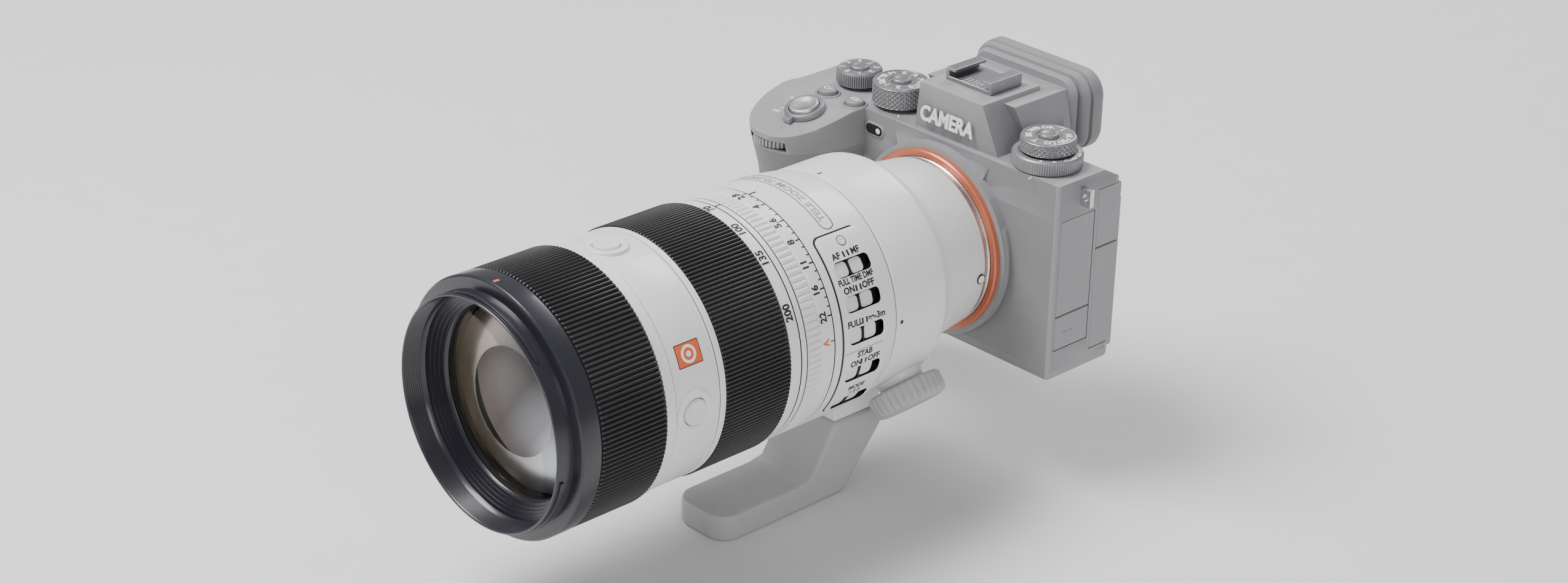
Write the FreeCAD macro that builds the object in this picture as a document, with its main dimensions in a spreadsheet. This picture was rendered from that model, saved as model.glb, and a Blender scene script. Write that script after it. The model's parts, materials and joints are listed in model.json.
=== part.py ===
import FreeCAD, Part
import math
import os
import re
import Sketcher

# Interchangeable-lens camera with a telephoto zoom on its tripod foot.
# The pieces are drawn in the mount's frame: the lens axis is Y through the origin, the lens points to -Y,
# the mounting flange is the plane y = 0 and Z is up. Every node is then placed so that the row's origin is
# the centre of the foot's threaded hole, on the foot's underside. All sizes are in millimetres.

SIZES = {
    # row origin
    "foot_drop": 29.0, "flange_setback": 79.0,
    # fits
    "running_gap": 0.08, "ring_gap": 0.3, "button_gap": 0.2, "door_gap": 0.25,
    # camera body
    "port_side": 55.0, "grip_side": 75.0, "body_front": 6.5, "body_rear": 41.0, "top_height": 37.0,
    "base_depth": 36.5, "wall": 2.0, "base_rim": 3.0, "seam_drop": 13.5, "parting": 27.0,
    "shoulder_depth": 11.0, "shoulder_drop": 6.0, "rear_radius": 5.0, "front_radius": 1.2,
    # finder hump
    "hump_rise": 16.5, "hump_half": 24.0, "hump_top_half": 15.0, "hump_front": 7.0, "hump_top_front": 10.0,
    "brow_drop": 11.0, "brow_half": 19.5, "brow_front": 5.0,
    "housing_half": 21.0, "housing_tall": 23.0, "housing_reach": 6.0, "housing_front": 20.0,
    "housing_flare": 5.0, "housing_rake": 8.0,
    "window_half": 12.0, "window_tall": 14.0,
    "eyecup_half": 28.0, "eyecup_tall": 30.0, "eyecup_deep": 13.0, "eyecup_round": 9.0,
    "eyecup_hole_half": 15.5, "eyecup_hole_tall": 19.0,
    # hot shoe
    "shoe_half": 10.8, "shoe_slot_half": 9.35, "shoe_mouth_half": 6.3, "shoe_base": 1.5, "shoe_slot": 2.1,
    "shoe_rail": 1.1, "shoe_front": 18.5, "shoe_length": 16.0,
    # hand grip
    "grip_root": 38.0, "grip_reach": 24.5, "grip_reach_waist": 20.5, "grip_reach_palm": 22.0,
    "grip_reach_base": 19.5, "grip_shelf": 1.0, "grip_drop": 7.0, "grip_waist": 11.0, "grip_palm": -10.0,
    # mount
    "boss_front": 3.0, "flange_radius": 31.0, "throat_radius": 23.1, "trim_width": 2.4, "boss_width": 2.1,
    "trim_front": 0.8, "sensor_plane": 18.0, "flange_gap": 0.1,
    # ports, doors
    "door_thick": 1.6, "column_front": 9.2, "column_margin": 1.0, "column_inset": 1.4,
    "lan_tall": 36.0, "sync_rise": 10.5, "mic_tall": 22.0, "hdmi_rise": 5.5,
    "card_inset": 5.0, "card_rise": 12.5, "card_tall": 41.0,
    "cell_inset": 4.6, "cell_wide": 22.7, "cell_front": -11.0, "cell_long": 38.7, "cell_rise": 2.3,
    "cell_tall": 51.7, "chamber_wall": 0.8,
    # monitor
    "monitor_left": -24.0, "monitor_inset": 4.0, "monitor_rise": 7.5, "monitor_drop": 3.1,
    "monitor_thick": 4.4, "monitor_proud": 1.0, "hinge_drop": 1.2, "hinge_radius": 0.7,
    "pivot_rise": 1.6, "bracket_thick": 1.2, "bracket_gap": 0.4, "arm_width": 1.4,
    # upright controls: distance in from a side, radius, lift off the top and thickness
    "mode_x": -33.0, "mode_y": 19.0, "mode_radius": 10.5, "mode_lift": 1.4, "mode_thick": 8.1,
    "exposure_inset": 18.5, "exposure_y": 21.2, "exposure_radius": 8.5, "exposure_lift": 1.2,
    "exposure_thick": 5.8,
    "drive_inset": 16.5, "drive_y": 18.6, "drive_radius": 10.0, "drive_lift": 0.4, "drive_thick": 5.1,
    "focus_dial_radius": 12.5, "focus_dial_lift": 0.4, "focus_dial_thick": 5.1,
    "spindle_radius": 5.0, "spindle_wall": 1.3, "lock_gap": 0.3, "lock_rise": 0.6, "spindle_depth": 4.0,
    "custom_radius": 3.4, "custom_rise": 2.2, "custom_inset": 17.8, "custom_pitch": 13.9, "custom_y": 6.0,
    "flange_width": 0.8,
    "shutter_inset": 20.2, "shutter_y": -7.6, "shutter_radius": 5.5, "shutter_rise": 3.4,
    "lever_wall": 0.8, "lever_lip": 0.8, "lever_rise": 2.3, "lever_tab": 2.2,
    "front_dial_inset": 16.0, "front_dial_y": -15.2, "front_dial_radius": 10.0, "front_dial_lift": 0.9,
    "rear_dial_inset": 17.0, "rear_dial_setback": 7.2, "rear_dial_radius": 8.6, "rear_dial_lift": 2.1,
    "dial_width": 3.2,
    # rear controls
    "wheel_inset": 25.0, "wheel_z": -8.0, "wheel_radius": 14.5, "wheel_hub": 8.4, "wheel_wall": 1.5,
    "wheel_rise": 2.0, "centre_gap": 0.4, "centre_rise": 2.6,
    "af_inset": 31.0, "af_z": 15.5, "af_radius": 4.2, "stick_x": -32.5, "stick_z": 9.0, "stick_radius": 3.6,
    "stick_rise": 4.0, "release_x": -33.6, "release_z": -21.0, "release_radius": 3.7, "release_front": 3.0,
    # lens: lengths along Y from the collar forwards, then radii and walls
    "collar_front": -55.2, "collar_length": 28.2, "shoulder_length": 4.0, "panel_length": 30.1,
    "aperture_length": 12.1, "scale_band": 2.9, "zoom_length": 35.4, "zoom_lip": 2.4, "zoom_collar": 4.8,
    "band_length": 18.6, "focus_lip": 4.4, "focus_grip_length": 26.7, "hood_length": 8.0, "neck_ring": 6.3,
    "thread_length": 7.5, "glass_edge": 2.17, "glass_depth": 18.0,
    "core_radius": 39.5, "sleeve_wall": 1.8, "focus_rubber": 2.3, "zoom_rubber": 1.5, "focus_lip_wall": 1.6,
    "band_wall": 3.1, "hood_wall": 4.5, "thread_inset": 1.0, "lip_wall": 1.1, "glass_inset": 6.6,
    "glass_curve": 90.0, "bore_wall": 8.0, "seat_inset": 2.9, "collar_wall": 4.4, "shoulder_step": 4.0,
    "neck_step": 1.4, "neck_lip": 0.3, "bayonet_seat": -2.0, "bayonet_wall": 2.6, "bayonet_back": 4.6,
    "group_front": -112.0, "group_length": 24.0,
    # buttons and switches on the barrel
    "hold_inset": 7.6, "hold_radius": 4.5, "hold_boss": 7.4, "hold_boss_rise": 0.7, "hold_rise": 1.2,
    "hold_sunk": 1.1, "switch_setback": 6.3, "switch_length": 15.4, "switch_half": 2.8, "switch_sunk": 0.1,
    "switch_travel": 2.6, "switch_ridge": 0.5,
    # tripod collar, foot and knob
    "pad_half": 12.0, "pad_margin": 0.7, "pad_length": 22.0, "pad_thick": 8.0,
    "foot_half": 13.0, "foot_front": -107.5, "foot_heel": -50.0, "sole_thick": 10.0, "foot_round": 8.0,
    "arm_front": -66.0, "arm_kink": -72.0, "arm_margin": 1.0, "arm_heel": 22.0,
    "foot_thread_radius": 3.175, "foot_thread_depth": 8.0, "body_thread_y": 20.0, "body_thread_depth": 6.0,
    "body_boss_radius": 9.0,
    "knob_setback": 16.7, "knob_angle": 139.0, "knob_radius": 13.5, "knob_lift": 2.6, "knob_thick": 8.4,
    "screw_radius": 3.0, "screw_tip": 2.0, "knob_boss_radius": 8.0,
    # strap lugs
    "lug_drop": 6.5, "lug_y": 19.0, "lug_reach": 4.4, "lug_half": 3.2, "lug_thick": 2.0, "lug_hole": 1.5,
}

# Places that follow from the sizes, so that what fits together moves together.
PLACES = {
    "seam_height": "top_height - seam_drop", "shoulder_back": "body_rear - shoulder_depth",
    "hump_top": "top_height + hump_rise", "hump_back": "body_rear - wall",
    "brow_low": "top_height - brow_drop",
    "housing_high": "hump_top - wall + 0.5", "housing_low": "housing_high - housing_tall",
    "housing_back": "body_rear + housing_reach",
    "window_low": "housing_low + (housing_tall - window_tall) / 2 - 0.5",
    "window_high": "window_low + window_tall",
    "eyecup_low": "(window_low + window_high) / 2 + 2 - eyecup_tall / 2",
    "eyecup_high": "eyecup_low + eyecup_tall", "eyecup_back": "housing_back + eyecup_deep",
    "eyecup_hole_low": "eyecup_low + 4.5", "eyecup_hole_high": "eyecup_hole_low + eyecup_hole_tall",
    "shoe_floor": "hump_top + shoe_base", "shoe_lip": "shoe_floor + shoe_slot",
    "shoe_top": "shoe_lip + shoe_rail",
    "shoe_back": "shoe_front + shoe_length",
    "trim_radius": "flange_radius + trim_width", "boss_radius": "trim_radius + boss_width",
    "column_rear": "parting + column_margin", "column_split": "parting - 0.8",
    "column_back": "body_rear - column_inset",
    "lan_high": "seam_height - 2 * door_gap", "lan_low": "lan_high - lan_tall",
    "sync_low": "-base_depth + sync_rise", "mic_high": "top_height - shoulder_drop - 1",
    "mic_low": "mic_high - mic_tall", "hdmi_low": "-base_depth + hdmi_rise",
    "card_back": "body_rear - card_inset", "card_low": "-base_depth + card_rise",
    "card_high": "card_low + card_tall",
    "cell_left": "-grip_side + cell_inset", "cell_right": "cell_left + cell_wide",
    "cell_rear": "cell_front + cell_long", "cell_low": "-base_depth + cell_rise",
    "cell_high": "cell_low + cell_tall",
    "monitor_right": "port_side - monitor_inset", "monitor_low": "-base_depth + monitor_rise",
    "monitor_high": "seam_height - monitor_drop", "monitor_back": "body_rear + monitor_proud",
    "monitor_front": "monitor_back - monitor_thick", "hinge_height": "monitor_high - hinge_drop",
    "hinge_back": "monitor_back - hinge_radius - 0.1", "pivot_height": "monitor_low + pivot_rise",
    "bracket_front": "monitor_front - bracket_thick - bracket_gap",
    "pan_floor": "bracket_front - bracket_gap",
    "mode_base": "top_height + mode_lift", "mode_top": "mode_base + mode_thick",
    "exposure_x": "-grip_side + exposure_inset", "exposure_base": "top_height + exposure_lift",
    "exposure_top": "exposure_base + exposure_thick",
    "focus_dial_base": "top_height + focus_dial_lift",
    "focus_dial_top": "focus_dial_base + focus_dial_thick",
    "drive_x": "port_side - drive_inset", "drive_base": "focus_dial_top + drive_lift",
    "drive_top": "drive_base + drive_thick",
    "spindle_bore": "spindle_radius - spindle_wall", "lock_radius": "spindle_bore - lock_gap",
    "spindle_foot": "top_height - spindle_depth",
    "custom_one_x": "-grip_side + custom_inset", "custom_two_x": "custom_one_x + custom_pitch",
    "shutter_x": "-grip_side + shutter_inset", "lever_hub": "shutter_radius + ring_gap + lever_wall",
    "lever_radius": "lever_hub + lever_lip", "lever_reach": "lever_radius + lever_tab",
    "front_dial_x": "-grip_side + front_dial_inset", "front_dial_low": "seam_height + front_dial_lift",
    "front_dial_high": "front_dial_low + dial_width",
    "rear_dial_x": "-grip_side + rear_dial_inset", "rear_dial_y": "body_rear - rear_dial_setback",
    "rear_dial_low": "seam_height + rear_dial_lift", "rear_dial_high": "rear_dial_low + dial_width",
    "wheel_x": "-grip_side + wheel_inset", "wheel_bore": "wheel_hub - wheel_wall",
    "centre_radius": "wheel_bore - centre_gap", "af_x": "-grip_side + af_inset",
    "collar_back": "collar_front + collar_length", "collar_shoulder": "collar_back - shoulder_length",
    "aperture_back": "collar_front - ring_gap - panel_length",
    "aperture_front": "aperture_back - aperture_length",
    "zoom_back": "aperture_front - scale_band", "zoom_grip_back": "zoom_back - zoom_collar",
    "zoom_front": "zoom_back - zoom_length", "zoom_grip_front": "zoom_front + zoom_lip",
    "focus_back": "zoom_front - band_length", "focus_grip_back": "focus_back - focus_lip",
    "front_joint": "focus_grip_back - focus_grip_length", "hood_front": "front_joint - hood_length",
    "lens_front": "hood_front - neck_ring", "thread_back": "lens_front + thread_length",
    "sleeve_radius": "core_radius + ring_gap + sleeve_wall",
    "focus_grip_radius": "sleeve_radius + focus_rubber",
    "zoom_grip_radius": "sleeve_radius + zoom_rubber", "focus_lip_radius": "sleeve_radius + focus_lip_wall",
    "band_radius": "core_radius + band_wall", "hood_radius": "core_radius + hood_wall",
    "thread_radius": "core_radius - thread_inset", "lip_radius": "thread_radius + lip_wall",
    "glass_radius": "core_radius - glass_inset", "barrel_bore": "core_radius - bore_wall",
    "collar_seat": "core_radius - seat_inset", "collar_radius": "collar_seat + collar_wall",
    "collar_back_radius": "collar_radius - shoulder_step", "neck_radius": "collar_seat - neck_step",
    "neck_back_radius": "flange_radius + neck_lip", "bayonet_bore": "throat_radius - bayonet_wall",
    "glass_seat": "lens_front + glass_depth",
    "glass_apex": "glass_seat - glass_edge - glass_curve + sqrt(glass_curve^2 - glass_radius^2)",
    "group_back": "group_front + group_length", "group_radius": "barrel_bore - ring_gap",
    "hold_y": "focus_back + hold_inset", "hold_depth": "core_radius - hold_sunk",
    "switch_front": "aperture_back + switch_setback + ring_gap",
    "switch_back": "switch_front + switch_length",
    "switch_floor": "core_radius - switch_sunk",
    "pad_front": "collar_front + pad_margin", "pad_back": "pad_front + pad_length",
    "pad_low": "-collar_radius - pad_thick",
    "axis_height": "collar_radius + pad_thick + foot_drop",
    "arm_back": "pad_back + arm_margin", "arm_back_low": "-axis_height + arm_heel",
    "knob_y": "collar_front + knob_setback", "knob_inner": "collar_radius + knob_lift",
    "knob_boss_outer": "knob_inner - ring_gap", "knob_outer": "knob_inner + knob_thick",
    "screw_inner": "collar_seat + screw_tip",
    "lug_height": "top_height - lug_drop",
}

SWITCHES = {
    "af_mf_switch": 54.8, "dmf_switch": 70.7, "range_switch": 85.7, "stabiliser_switch": 105.6,
    "mode_switch": 124.9,
}
HOLD_BUTTONS = {"focus_hold_top": 0.0, "focus_hold_right": 90.0, "focus_hold_left": -90.0}

X_AXIS = FreeCAD.Vector(1, 0, 0)
Y_AXIS = FreeCAD.Vector(0, 1, 0)
ORIGIN = FreeCAD.Vector(0, 0, 0)
ALONG = {
    "X": FreeCAD.Rotation(Y_AXIS, 90),
    "Y": FreeCAD.Rotation(X_AXIS, -90),
    "Z": FreeCAD.Rotation(),
}
NAMES = {**SIZES, **PLACES}
NODES = []

doc = FreeCAD.newDocument("Camera")
sheet = doc.addObject("Spreadsheet::Sheet", "Sizes")
for row, (alias, size) in enumerate(SIZES.items(), start=1):
    sheet.set("A%d" % row, str(size))
    sheet.setAlias("A%d" % row, alias)
doc.recompute()
for row, (alias, rule) in enumerate(PLACES.items(), start=1):
    sheet.set("B%d" % row, "=" + rule)
    sheet.setAlias("B%d" % row, alias)
    doc.recompute()


def value(name):
    """A size or a place as a number."""
    return float(sheet.get(name))



# ---- helpers: formulas, primitives, booleans, bodies ----

def formula(text, unit=""):
    """An expression in which each size's name refers to the sheet."""
    words = re.sub(r"[a-z_]+", lambda word: "Sizes." + word[0] if word[0] in NAMES else word[0], str(text))
    return "(%s) * 1 %s" % (words, unit) if unit else words


def put(item, x, y, z, turn=None):
    """Place an item at a point given by three formulas, turned by a rotation."""
    if turn is not None:
        item.Placement = FreeCAD.Placement(ORIGIN, turn)
    for letter, text in zip("xyz", (x, y, z)):
        item.setExpression(".Placement.Base." + letter, formula(text, "mm"))
    return item


def node(name, item, x="0", y="0", z="0", turn=None):
    """Name a finished piece and place it in the row's frame."""
    put(item, x, "(%s) + flange_setback" % y, "(%s) + axis_height" % z, turn)
    item.Label = name
    NODES.append(item)
    return item


def box(x, y, z):
    """A block between a low and a high formula on each axis."""
    item = doc.addObject("Part::Box", "Block")
    for prop, (low, high) in zip(("Length", "Width", "Height"), (x, y, z)):
        item.setExpression(prop, formula("(%s) - (%s)" % (high, low), "mm"))
    return put(item, x[0], y[0], z[0])


def rod(axis, radius, start, end, centre=("0", "0")):
    """A cylinder along an axis; centre gives its other two coordinates in X, Y, Z order."""
    item = doc.addObject("Part::Cylinder", "Rod")
    item.setExpression("Radius", formula(radius, "mm"))
    item.setExpression("Height", formula("(%s) - (%s)" % (end, start), "mm"))
    place = list(centre)
    place.insert("XYZ".index(axis), start)
    return put(item, *place, turn=ALONG[axis])


def fuse(*items):
    if len(items) == 1:
        return items[0]
    item = doc.addObject("Part::MultiFuse", "Fuse")
    item.Shapes = list(items)
    return item


def cut(base, *tools):
    item = doc.addObject("Part::Cut", "Cut")
    item.Base = base
    item.Tool = fuse(*tools)
    return item


def common(first, second):
    item = doc.addObject("Part::Common", "Common")
    item.Base = first
    item.Tool = second
    return item


def outline(body, plane, corners):
    """A closed sketch of straight lines whose corners are pairs of formulas."""
    sketch = body.newObject("Sketcher::SketchObject", "Outline")
    support = next(item for item in body.Origin.OriginFeatures if item.Role == plane)
    sketch.AttachmentSupport = [(support, "")]
    sketch.MapMode = "FlatFace"
    count = len(corners)
    angles = [math.tau * n / count for n in range(count)]
    rough = [FreeCAD.Vector(math.cos(angle), math.sin(angle), 0) for angle in angles]
    for n in range(count):
        sketch.addGeometry(Part.LineSegment(rough[n], rough[(n + 1) % count]), False)
    for n in range(count):
        sketch.addConstraint(Sketcher.Constraint("Coincident", n, 2, (n + 1) % count, 1))
    for n, corner in enumerate(corners):
        for kind, start, text in zip(("DistanceX", "DistanceY"), rough[n], corner):
            place = sketch.addConstraint(Sketcher.Constraint(kind, n, 1, start))
            sketch.setExpression("Constraints[%d]" % place, formula(text))
    return sketch


def turned(corners, plane="YZ_Plane", axis="H_Axis"):
    """A body of revolution about the lens axis; corners are (y, radius)."""
    body = doc.addObject("PartDesign::Body", "Turned")
    sketch = outline(body, plane, corners)
    spin = body.newObject("PartDesign::Revolution", "Spin")
    spin.Profile = sketch
    spin.ReferenceAxis = (sketch, [axis])
    spin.Angle = 360
    return body


def upright(corners):
    """A body of revolution about Z; corners are (radius, height)."""
    return turned(corners, "XZ_Plane", "V_Axis")


def extruded(plane, corners, low, high):
    """An outline in a plane, padded from low to high along the third axis."""
    body = doc.addObject("PartDesign::Body", "Extruded")
    sketch = outline(body, plane, corners)
    start = "-(%s)" % high if plane == "XZ_Plane" else low
    sketch.setExpression(".AttachmentOffset.Base.z", formula(start, "mm"))
    pad = body.newObject("PartDesign::Pad", "Pad")
    pad.Profile = sketch
    pad.setExpression("Length", formula("(%s) - (%s)" % (high, low), "mm"))
    return body


def rounded(body, radius, chosen):
    """Round the edges of a body for which chosen(middle, box) holds."""
    doc.recompute()
    base = body.Tip
    names = []
    for number, edge in enumerate(base.Shape.Edges, start=1):
        if chosen(edge.CenterOfMass, edge.BoundBox):
            names.append("Edge%d" % number)
    fillet = body.newObject("PartDesign::Fillet", "Rounding")
    fillet.Base = (base, names)
    fillet.setExpression("Radius", formula(radius, "mm"))
    return body


def slab(x, y, z):
    """A plain block that can be a node of its own."""
    corners = [(x[0], y[0]), (x[1], y[0]), (x[1], y[1]), (x[0], y[1])]
    return extruded("XY_Plane", corners, *z)


def disc(radius, low, high):
    return [("0", low), (radius, low), (radius, high), ("0", high)]


def plug(radius, low, seat, high):
    """Corners of a push button: a flange of flange_width between low and seat, and a shank up to high."""
    wide = radius + " + flange_width"
    return [("0", low), (wide, low), (wide, seat), (radius, seat), (radius, high), ("0", high)]


def around(item, angle, y="0"):
    """Turn a radial cutter about the lens axis; 0 degrees is the top and 90 degrees the port side."""
    return put(item, "0", y, "0", FreeCAD.Rotation(Y_AXIS, angle))


# ---- camera body: outer hull, inner space and the covers cut from them ----

def main_block(inset):
    """The body's block with its sloped rear shoulder, drawn in by an inset."""
    corners = [
        ("body_front + " + inset, "-base_depth + " + inset),
        ("body_rear - " + inset, "-base_depth + " + inset),
        ("body_rear - " + inset, "top_height - shoulder_drop - " + inset),
        ("shoulder_back - %s / 2" % inset, "top_height - " + inset),
        ("body_front + " + inset, "top_height - " + inset),
    ]
    return extruded("YZ_Plane", corners, "-grip_side + " + inset, "port_side - " + inset)


def wedge(low, high, low_half, high_half, low_front, high_front, back, inset):
    """A block that tapers upward on its sides and front. A Part::Wedge grows along its own Y."""
    item = doc.addObject("Part::Wedge", "Wedge")
    sides = {
        "Ymin": low, "Ymax": high + " - " + inset,
        "Xmin": "-%s + %s" % (low_half, inset), "Xmax": "%s - %s" % (low_half, inset),
        "X2min": "-%s + %s" % (high_half, inset), "X2max": "%s - %s" % (high_half, inset),
        "Zmin": "-%s + %s" % (back, inset), "Zmax": "-%s - %s" % (low_front, inset),
        "Z2min": "-%s + %s" % (back, inset), "Z2max": "-%s - %s" % (high_front, inset),
    }
    for prop, text in sides.items():
        item.setExpression(prop, formula(text, "mm"))
    item.Placement = FreeCAD.Placement(ORIGIN, FreeCAD.Rotation(X_AXIS, 90))
    return item


def grip_section(height, reach, inset):
    """A closed outline of the grip: a smooth nose and a straight back inside the body."""
    inner = -SIZES["grip_root"] - inset
    outer = -SIZES["grip_side"] + inset
    tip = -reach + inset
    back = SIZES["body_front"] + SIZES["wall"] + 1
    width = inner - outer
    depth = back - tip
    nose = [
        (inner, back), (inner - 0.08 * width, tip + 0.45 * depth),
        (inner - 0.27 * width, tip + 0.10 * depth),
        (inner - 0.53 * width, tip), (outer + 0.20 * width, tip + 0.09 * depth),
        (outer, tip + 0.42 * depth), (outer, back),
    ]
    points = [FreeCAD.Vector(x, y, height) for x, y in nose]
    curve = Part.BSplineCurve()
    curve.interpolate(points)
    return Part.Wire([curve.toShape(), Part.LineSegment(points[-1], points[0]).toShape()])


def grip_block(inset):
    """The grip as a loft of its sections, under a top that falls away towards the front."""
    margin = SIZES.get(inset, 0.0)
    low = -SIZES["base_depth"] + margin
    sections = [
        (low, SIZES["grip_reach_base"]), (SIZES["grip_palm"], SIZES["grip_reach_palm"]),
        (SIZES["grip_waist"], SIZES["grip_reach_waist"]), (value("seam_height"), SIZES["grip_reach"]),
        (SIZES["top_height"] + 1, SIZES["grip_reach"]),
    ]
    loft = doc.addObject("Part::Feature", "GripLoft")
    loft.Shape = Part.makeLoft([grip_section(height, reach, margin) for height, reach in sections], True)
    ahead = "grip_reach + 1"
    fall = "grip_drop * (grip_shelf + %s) / (grip_shelf + grip_reach)" % ahead
    corners = [
        ("body_front + wall + 2", "-base_depth - 1"), ("body_front + wall + 2", "top_height - " + inset),
        ("grip_shelf", "top_height - " + inset), ("-(%s)" % ahead, "top_height - %s - %s" % (fall, inset)),
        ("-(%s)" % ahead, "-base_depth - 1"),
    ]
    return common(loft, extruded("YZ_Plane", corners, "-grip_side - 1", "0"))


def housing(inset):
    """The finder's housing, which stands out from the hump's sides towards the eyecup."""
    return wedge("housing_low + " + inset, "housing_high", "housing_half + housing_flare", "housing_half",
                 "housing_front - housing_rake", "housing_front", "housing_back", inset)


def hull(inset):
    """The whole body: block, hump, brow over the mount, finder housing and grip."""
    return [
        wedge("seam_height", "hump_top", "hump_half + 7", "hump_top_half", "hump_front - 2",
              "hump_top_front", "hump_back", inset),
        wedge("brow_low", "top_height", "brow_half", "hump_half", "brow_front", "hump_front", "20", inset),
        grip_block(inset),
        housing(inset),
    ]


def is_rear_edge(middle, room):
    """The block's long edge at the bottom of the back, and its two upright rear corners."""
    at_back = middle.y > SIZES["body_rear"] - 0.01
    return at_back and (room.ZLength > 10 or middle.z < 0)


def is_front_corner(middle, room):
    at_front = middle.y < SIZES["body_front"] + 0.01
    return at_front and middle.x > 0 and (room.ZLength > 10)


outer_block = rounded(main_block("0"), "rear_radius", is_rear_edge)
outer_block = rounded(outer_block, "front_radius", is_front_corner)
outer_hull = fuse(outer_block, *hull("0"))
inner_hull = fuse(main_block("wall"), *hull("wall"))
shell = cut(outer_hull, inner_hull)

FAR = "100"
span_x = ("-" + FAR, FAR)
mount_island = rod("Y", "boss_radius", "-1", "body_front + wall", ("0", "0"))
below_seam = ("-base_depth + base_rim", "seam_height")


def spindle_hole(control, low="spindle_foot - 1"):
    """The hole in the top cover for a dial's spindle."""
    return rod("Z", "spindle_radius + running_gap", low, "hump_top", (control + "_x", control + "_y"))


def button_hole(radius, x, y):
    return rod("Z", radius + " + button_gap", "top_height - wall - 1", "hump_top", (x, y))


def tilt():
    """The grip's top falls forward, and the release stands square to it."""
    return math.degrees(math.atan2(SIZES["grip_drop"], SIZES["grip_shelf"] + SIZES["grip_reach"]))


SHUTTER_SEAT = "top_height - grip_drop * (grip_shelf - shutter_y) / (grip_shelf + grip_reach)"
TILT = FreeCAD.Rotation(X_AXIS, tilt())


def make_top_cover():
    region = cut(box(span_x, ("-" + FAR, FAR), ("seam_height", FAR)), mount_island)
    lever_hole = upright(disc("lever_hub + running_gap", "-12", "12"))
    put(lever_hole, "shutter_x", "shutter_y", SHUTTER_SEAT, TILT)
    tools = [
        lever_hole, spindle_hole("mode"), spindle_hole("exposure"), spindle_hole("drive"),
        button_hole("custom_radius", "custom_one_x", "custom_y"),
        button_hole("custom_radius", "custom_two_x", "custom_y"),
        rod("Z", "custom_radius + flange_width + button_gap", "seam_height + 2", "top_height - wall",
            ("custom_two_x", "custom_y")),
        box(("front_dial_x - front_dial_radius", "front_dial_x + front_dial_radius"),
            ("-grip_reach - 2", "front_dial_y"),
            ("front_dial_low - ring_gap", "front_dial_high + ring_gap")),
        box(("rear_dial_x - rear_dial_radius", "rear_dial_x + rear_dial_radius"),
            ("rear_dial_y", "body_rear + 1"), ("rear_dial_low - ring_gap", "rear_dial_high + ring_gap")),
        box(("-window_half", "window_half"), ("housing_back - wall - 1", "housing_back + 1"),
            ("window_low", "window_high")),
        door_opening("mic"),
    ]
    node("top_cover", cut(common(shell, region), *tools))


DOORS = {
    "sync": ("column_front", "column_split", "sync_low", "lan_low - 2 * door_gap"),
    "lan": ("column_front", "column_split", "lan_low", "lan_high"),
    "mic": ("column_rear", "column_back", "mic_low", "mic_high"),
    "hdmi": ("column_rear", "column_back", "hdmi_low", "mic_low - 2 * door_gap"),
}


def door_opening(name):
    front, back, low, high = DOORS[name]
    return box(("port_side - wall - 1", "port_side + 1"), (front + " - door_gap", back + " + door_gap"),
               (low + " - door_gap", high + " + door_gap"))


def make_front_cover():
    region = fuse(box(span_x, ("body_front", "parting"), below_seam),
                  rod("Y", "boss_radius", "brow_front", "body_front + wall"))
    boss = rod("Y", "boss_radius", "boss_front", "body_front")
    bridge = box(("-grip_side + wall / 2", "-grip_root"), ("body_front", "body_front + wall"),
                 ("cell_high + 2", "seam_height"))
    tools = [
        rod("Y", "flange_radius - 3", "boss_front - 1", "body_front + wall + 1"),
        rod("Y", "release_radius + button_gap", "body_front - 1", "body_front + wall + 1",
            ("release_x", "release_z")),
        door_opening("sync"), door_opening("lan"),
    ]
    node("front_cover", cut(fuse(common(shell, region), boss, bridge), *tools))


def make_rear_cover():
    region = box(span_x, ("parting", "body_rear + 1"), below_seam)
    pan = box(("monitor_left - arm_width - 2.5", "port_side - wall / 2"), ("pan_floor - wall", "body_rear"),
              ("-base_depth + base_rim", "seam_height"))
    tools = [
        box(("monitor_left - arm_width - 0.6", "monitor_right + arm_width + 0.6"), ("pan_floor", FAR),
            ("-base_depth", "monitor_high + 0.8")),
        door_opening("mic"), door_opening("hdmi"),
        rod("Y", "wheel_hub + running_gap", "body_rear - wall - 1", "body_rear + 1",
            ("wheel_x", "wheel_z")),
        rod("Y", "af_radius + button_gap", "body_rear - wall - 1", "body_rear + 1", ("af_x", "af_z")),
        rod("Y", "stick_radius + 1", "body_rear - wall - 9", "body_rear + 1", ("stick_x", "stick_z")),
        box(("-grip_side - 1", "-grip_side + wall + 1"), ("column_rear - door_gap", "card_back + door_gap"),
            ("card_low - door_gap", "card_high + door_gap")),
    ]
    node("rear_cover", cut(fuse(common(shell, region), pan), *tools))


def make_base_plate():
    region = cut(box(span_x, ("-" + FAR, FAR), ("-" + FAR, "-base_depth + base_rim")), mount_island)
    cell_x = ("cell_left - door_gap", "cell_right + door_gap")
    cell_y = ("cell_front - door_gap", "cell_rear + door_gap")
    outer_x = ("cell_left - door_gap - chamber_wall", "cell_right + door_gap + chamber_wall")
    outer_y = ("cell_front - door_gap - chamber_wall", "cell_rear + door_gap + chamber_wall")
    chamber = cut(box(outer_x, outer_y, ("-base_depth + wall / 2", "cell_high + chamber_wall")),
                  box(cell_x, cell_y, ("-base_depth", "cell_high")))
    chamber = common(chamber, inner_hull)
    thread_top = "-base_depth + body_thread_depth"
    thread_boss = rod("Z", "body_boss_radius", "-base_depth + wall / 2", thread_top + " + wall",
                      ("0", "body_thread_y"))
    tools = [
        rod("Z", "foot_thread_radius", "-base_depth - 1", thread_top, ("0", "body_thread_y")),
        box(cell_x, cell_y, ("-base_depth - 1", "-base_depth + base_rim")),
    ]
    node("base_plate", fuse(cut(fuse(common(shell, region), thread_boss), *tools), chamber))


def make_handgrip():
    node("handgrip", common(shell, box(("-" + FAR, "-grip_root"), ("-" + FAR, "body_front"), below_seam)))


make_top_cover()
make_front_cover()
make_rear_cover()
make_base_plate()
make_handgrip()

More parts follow.
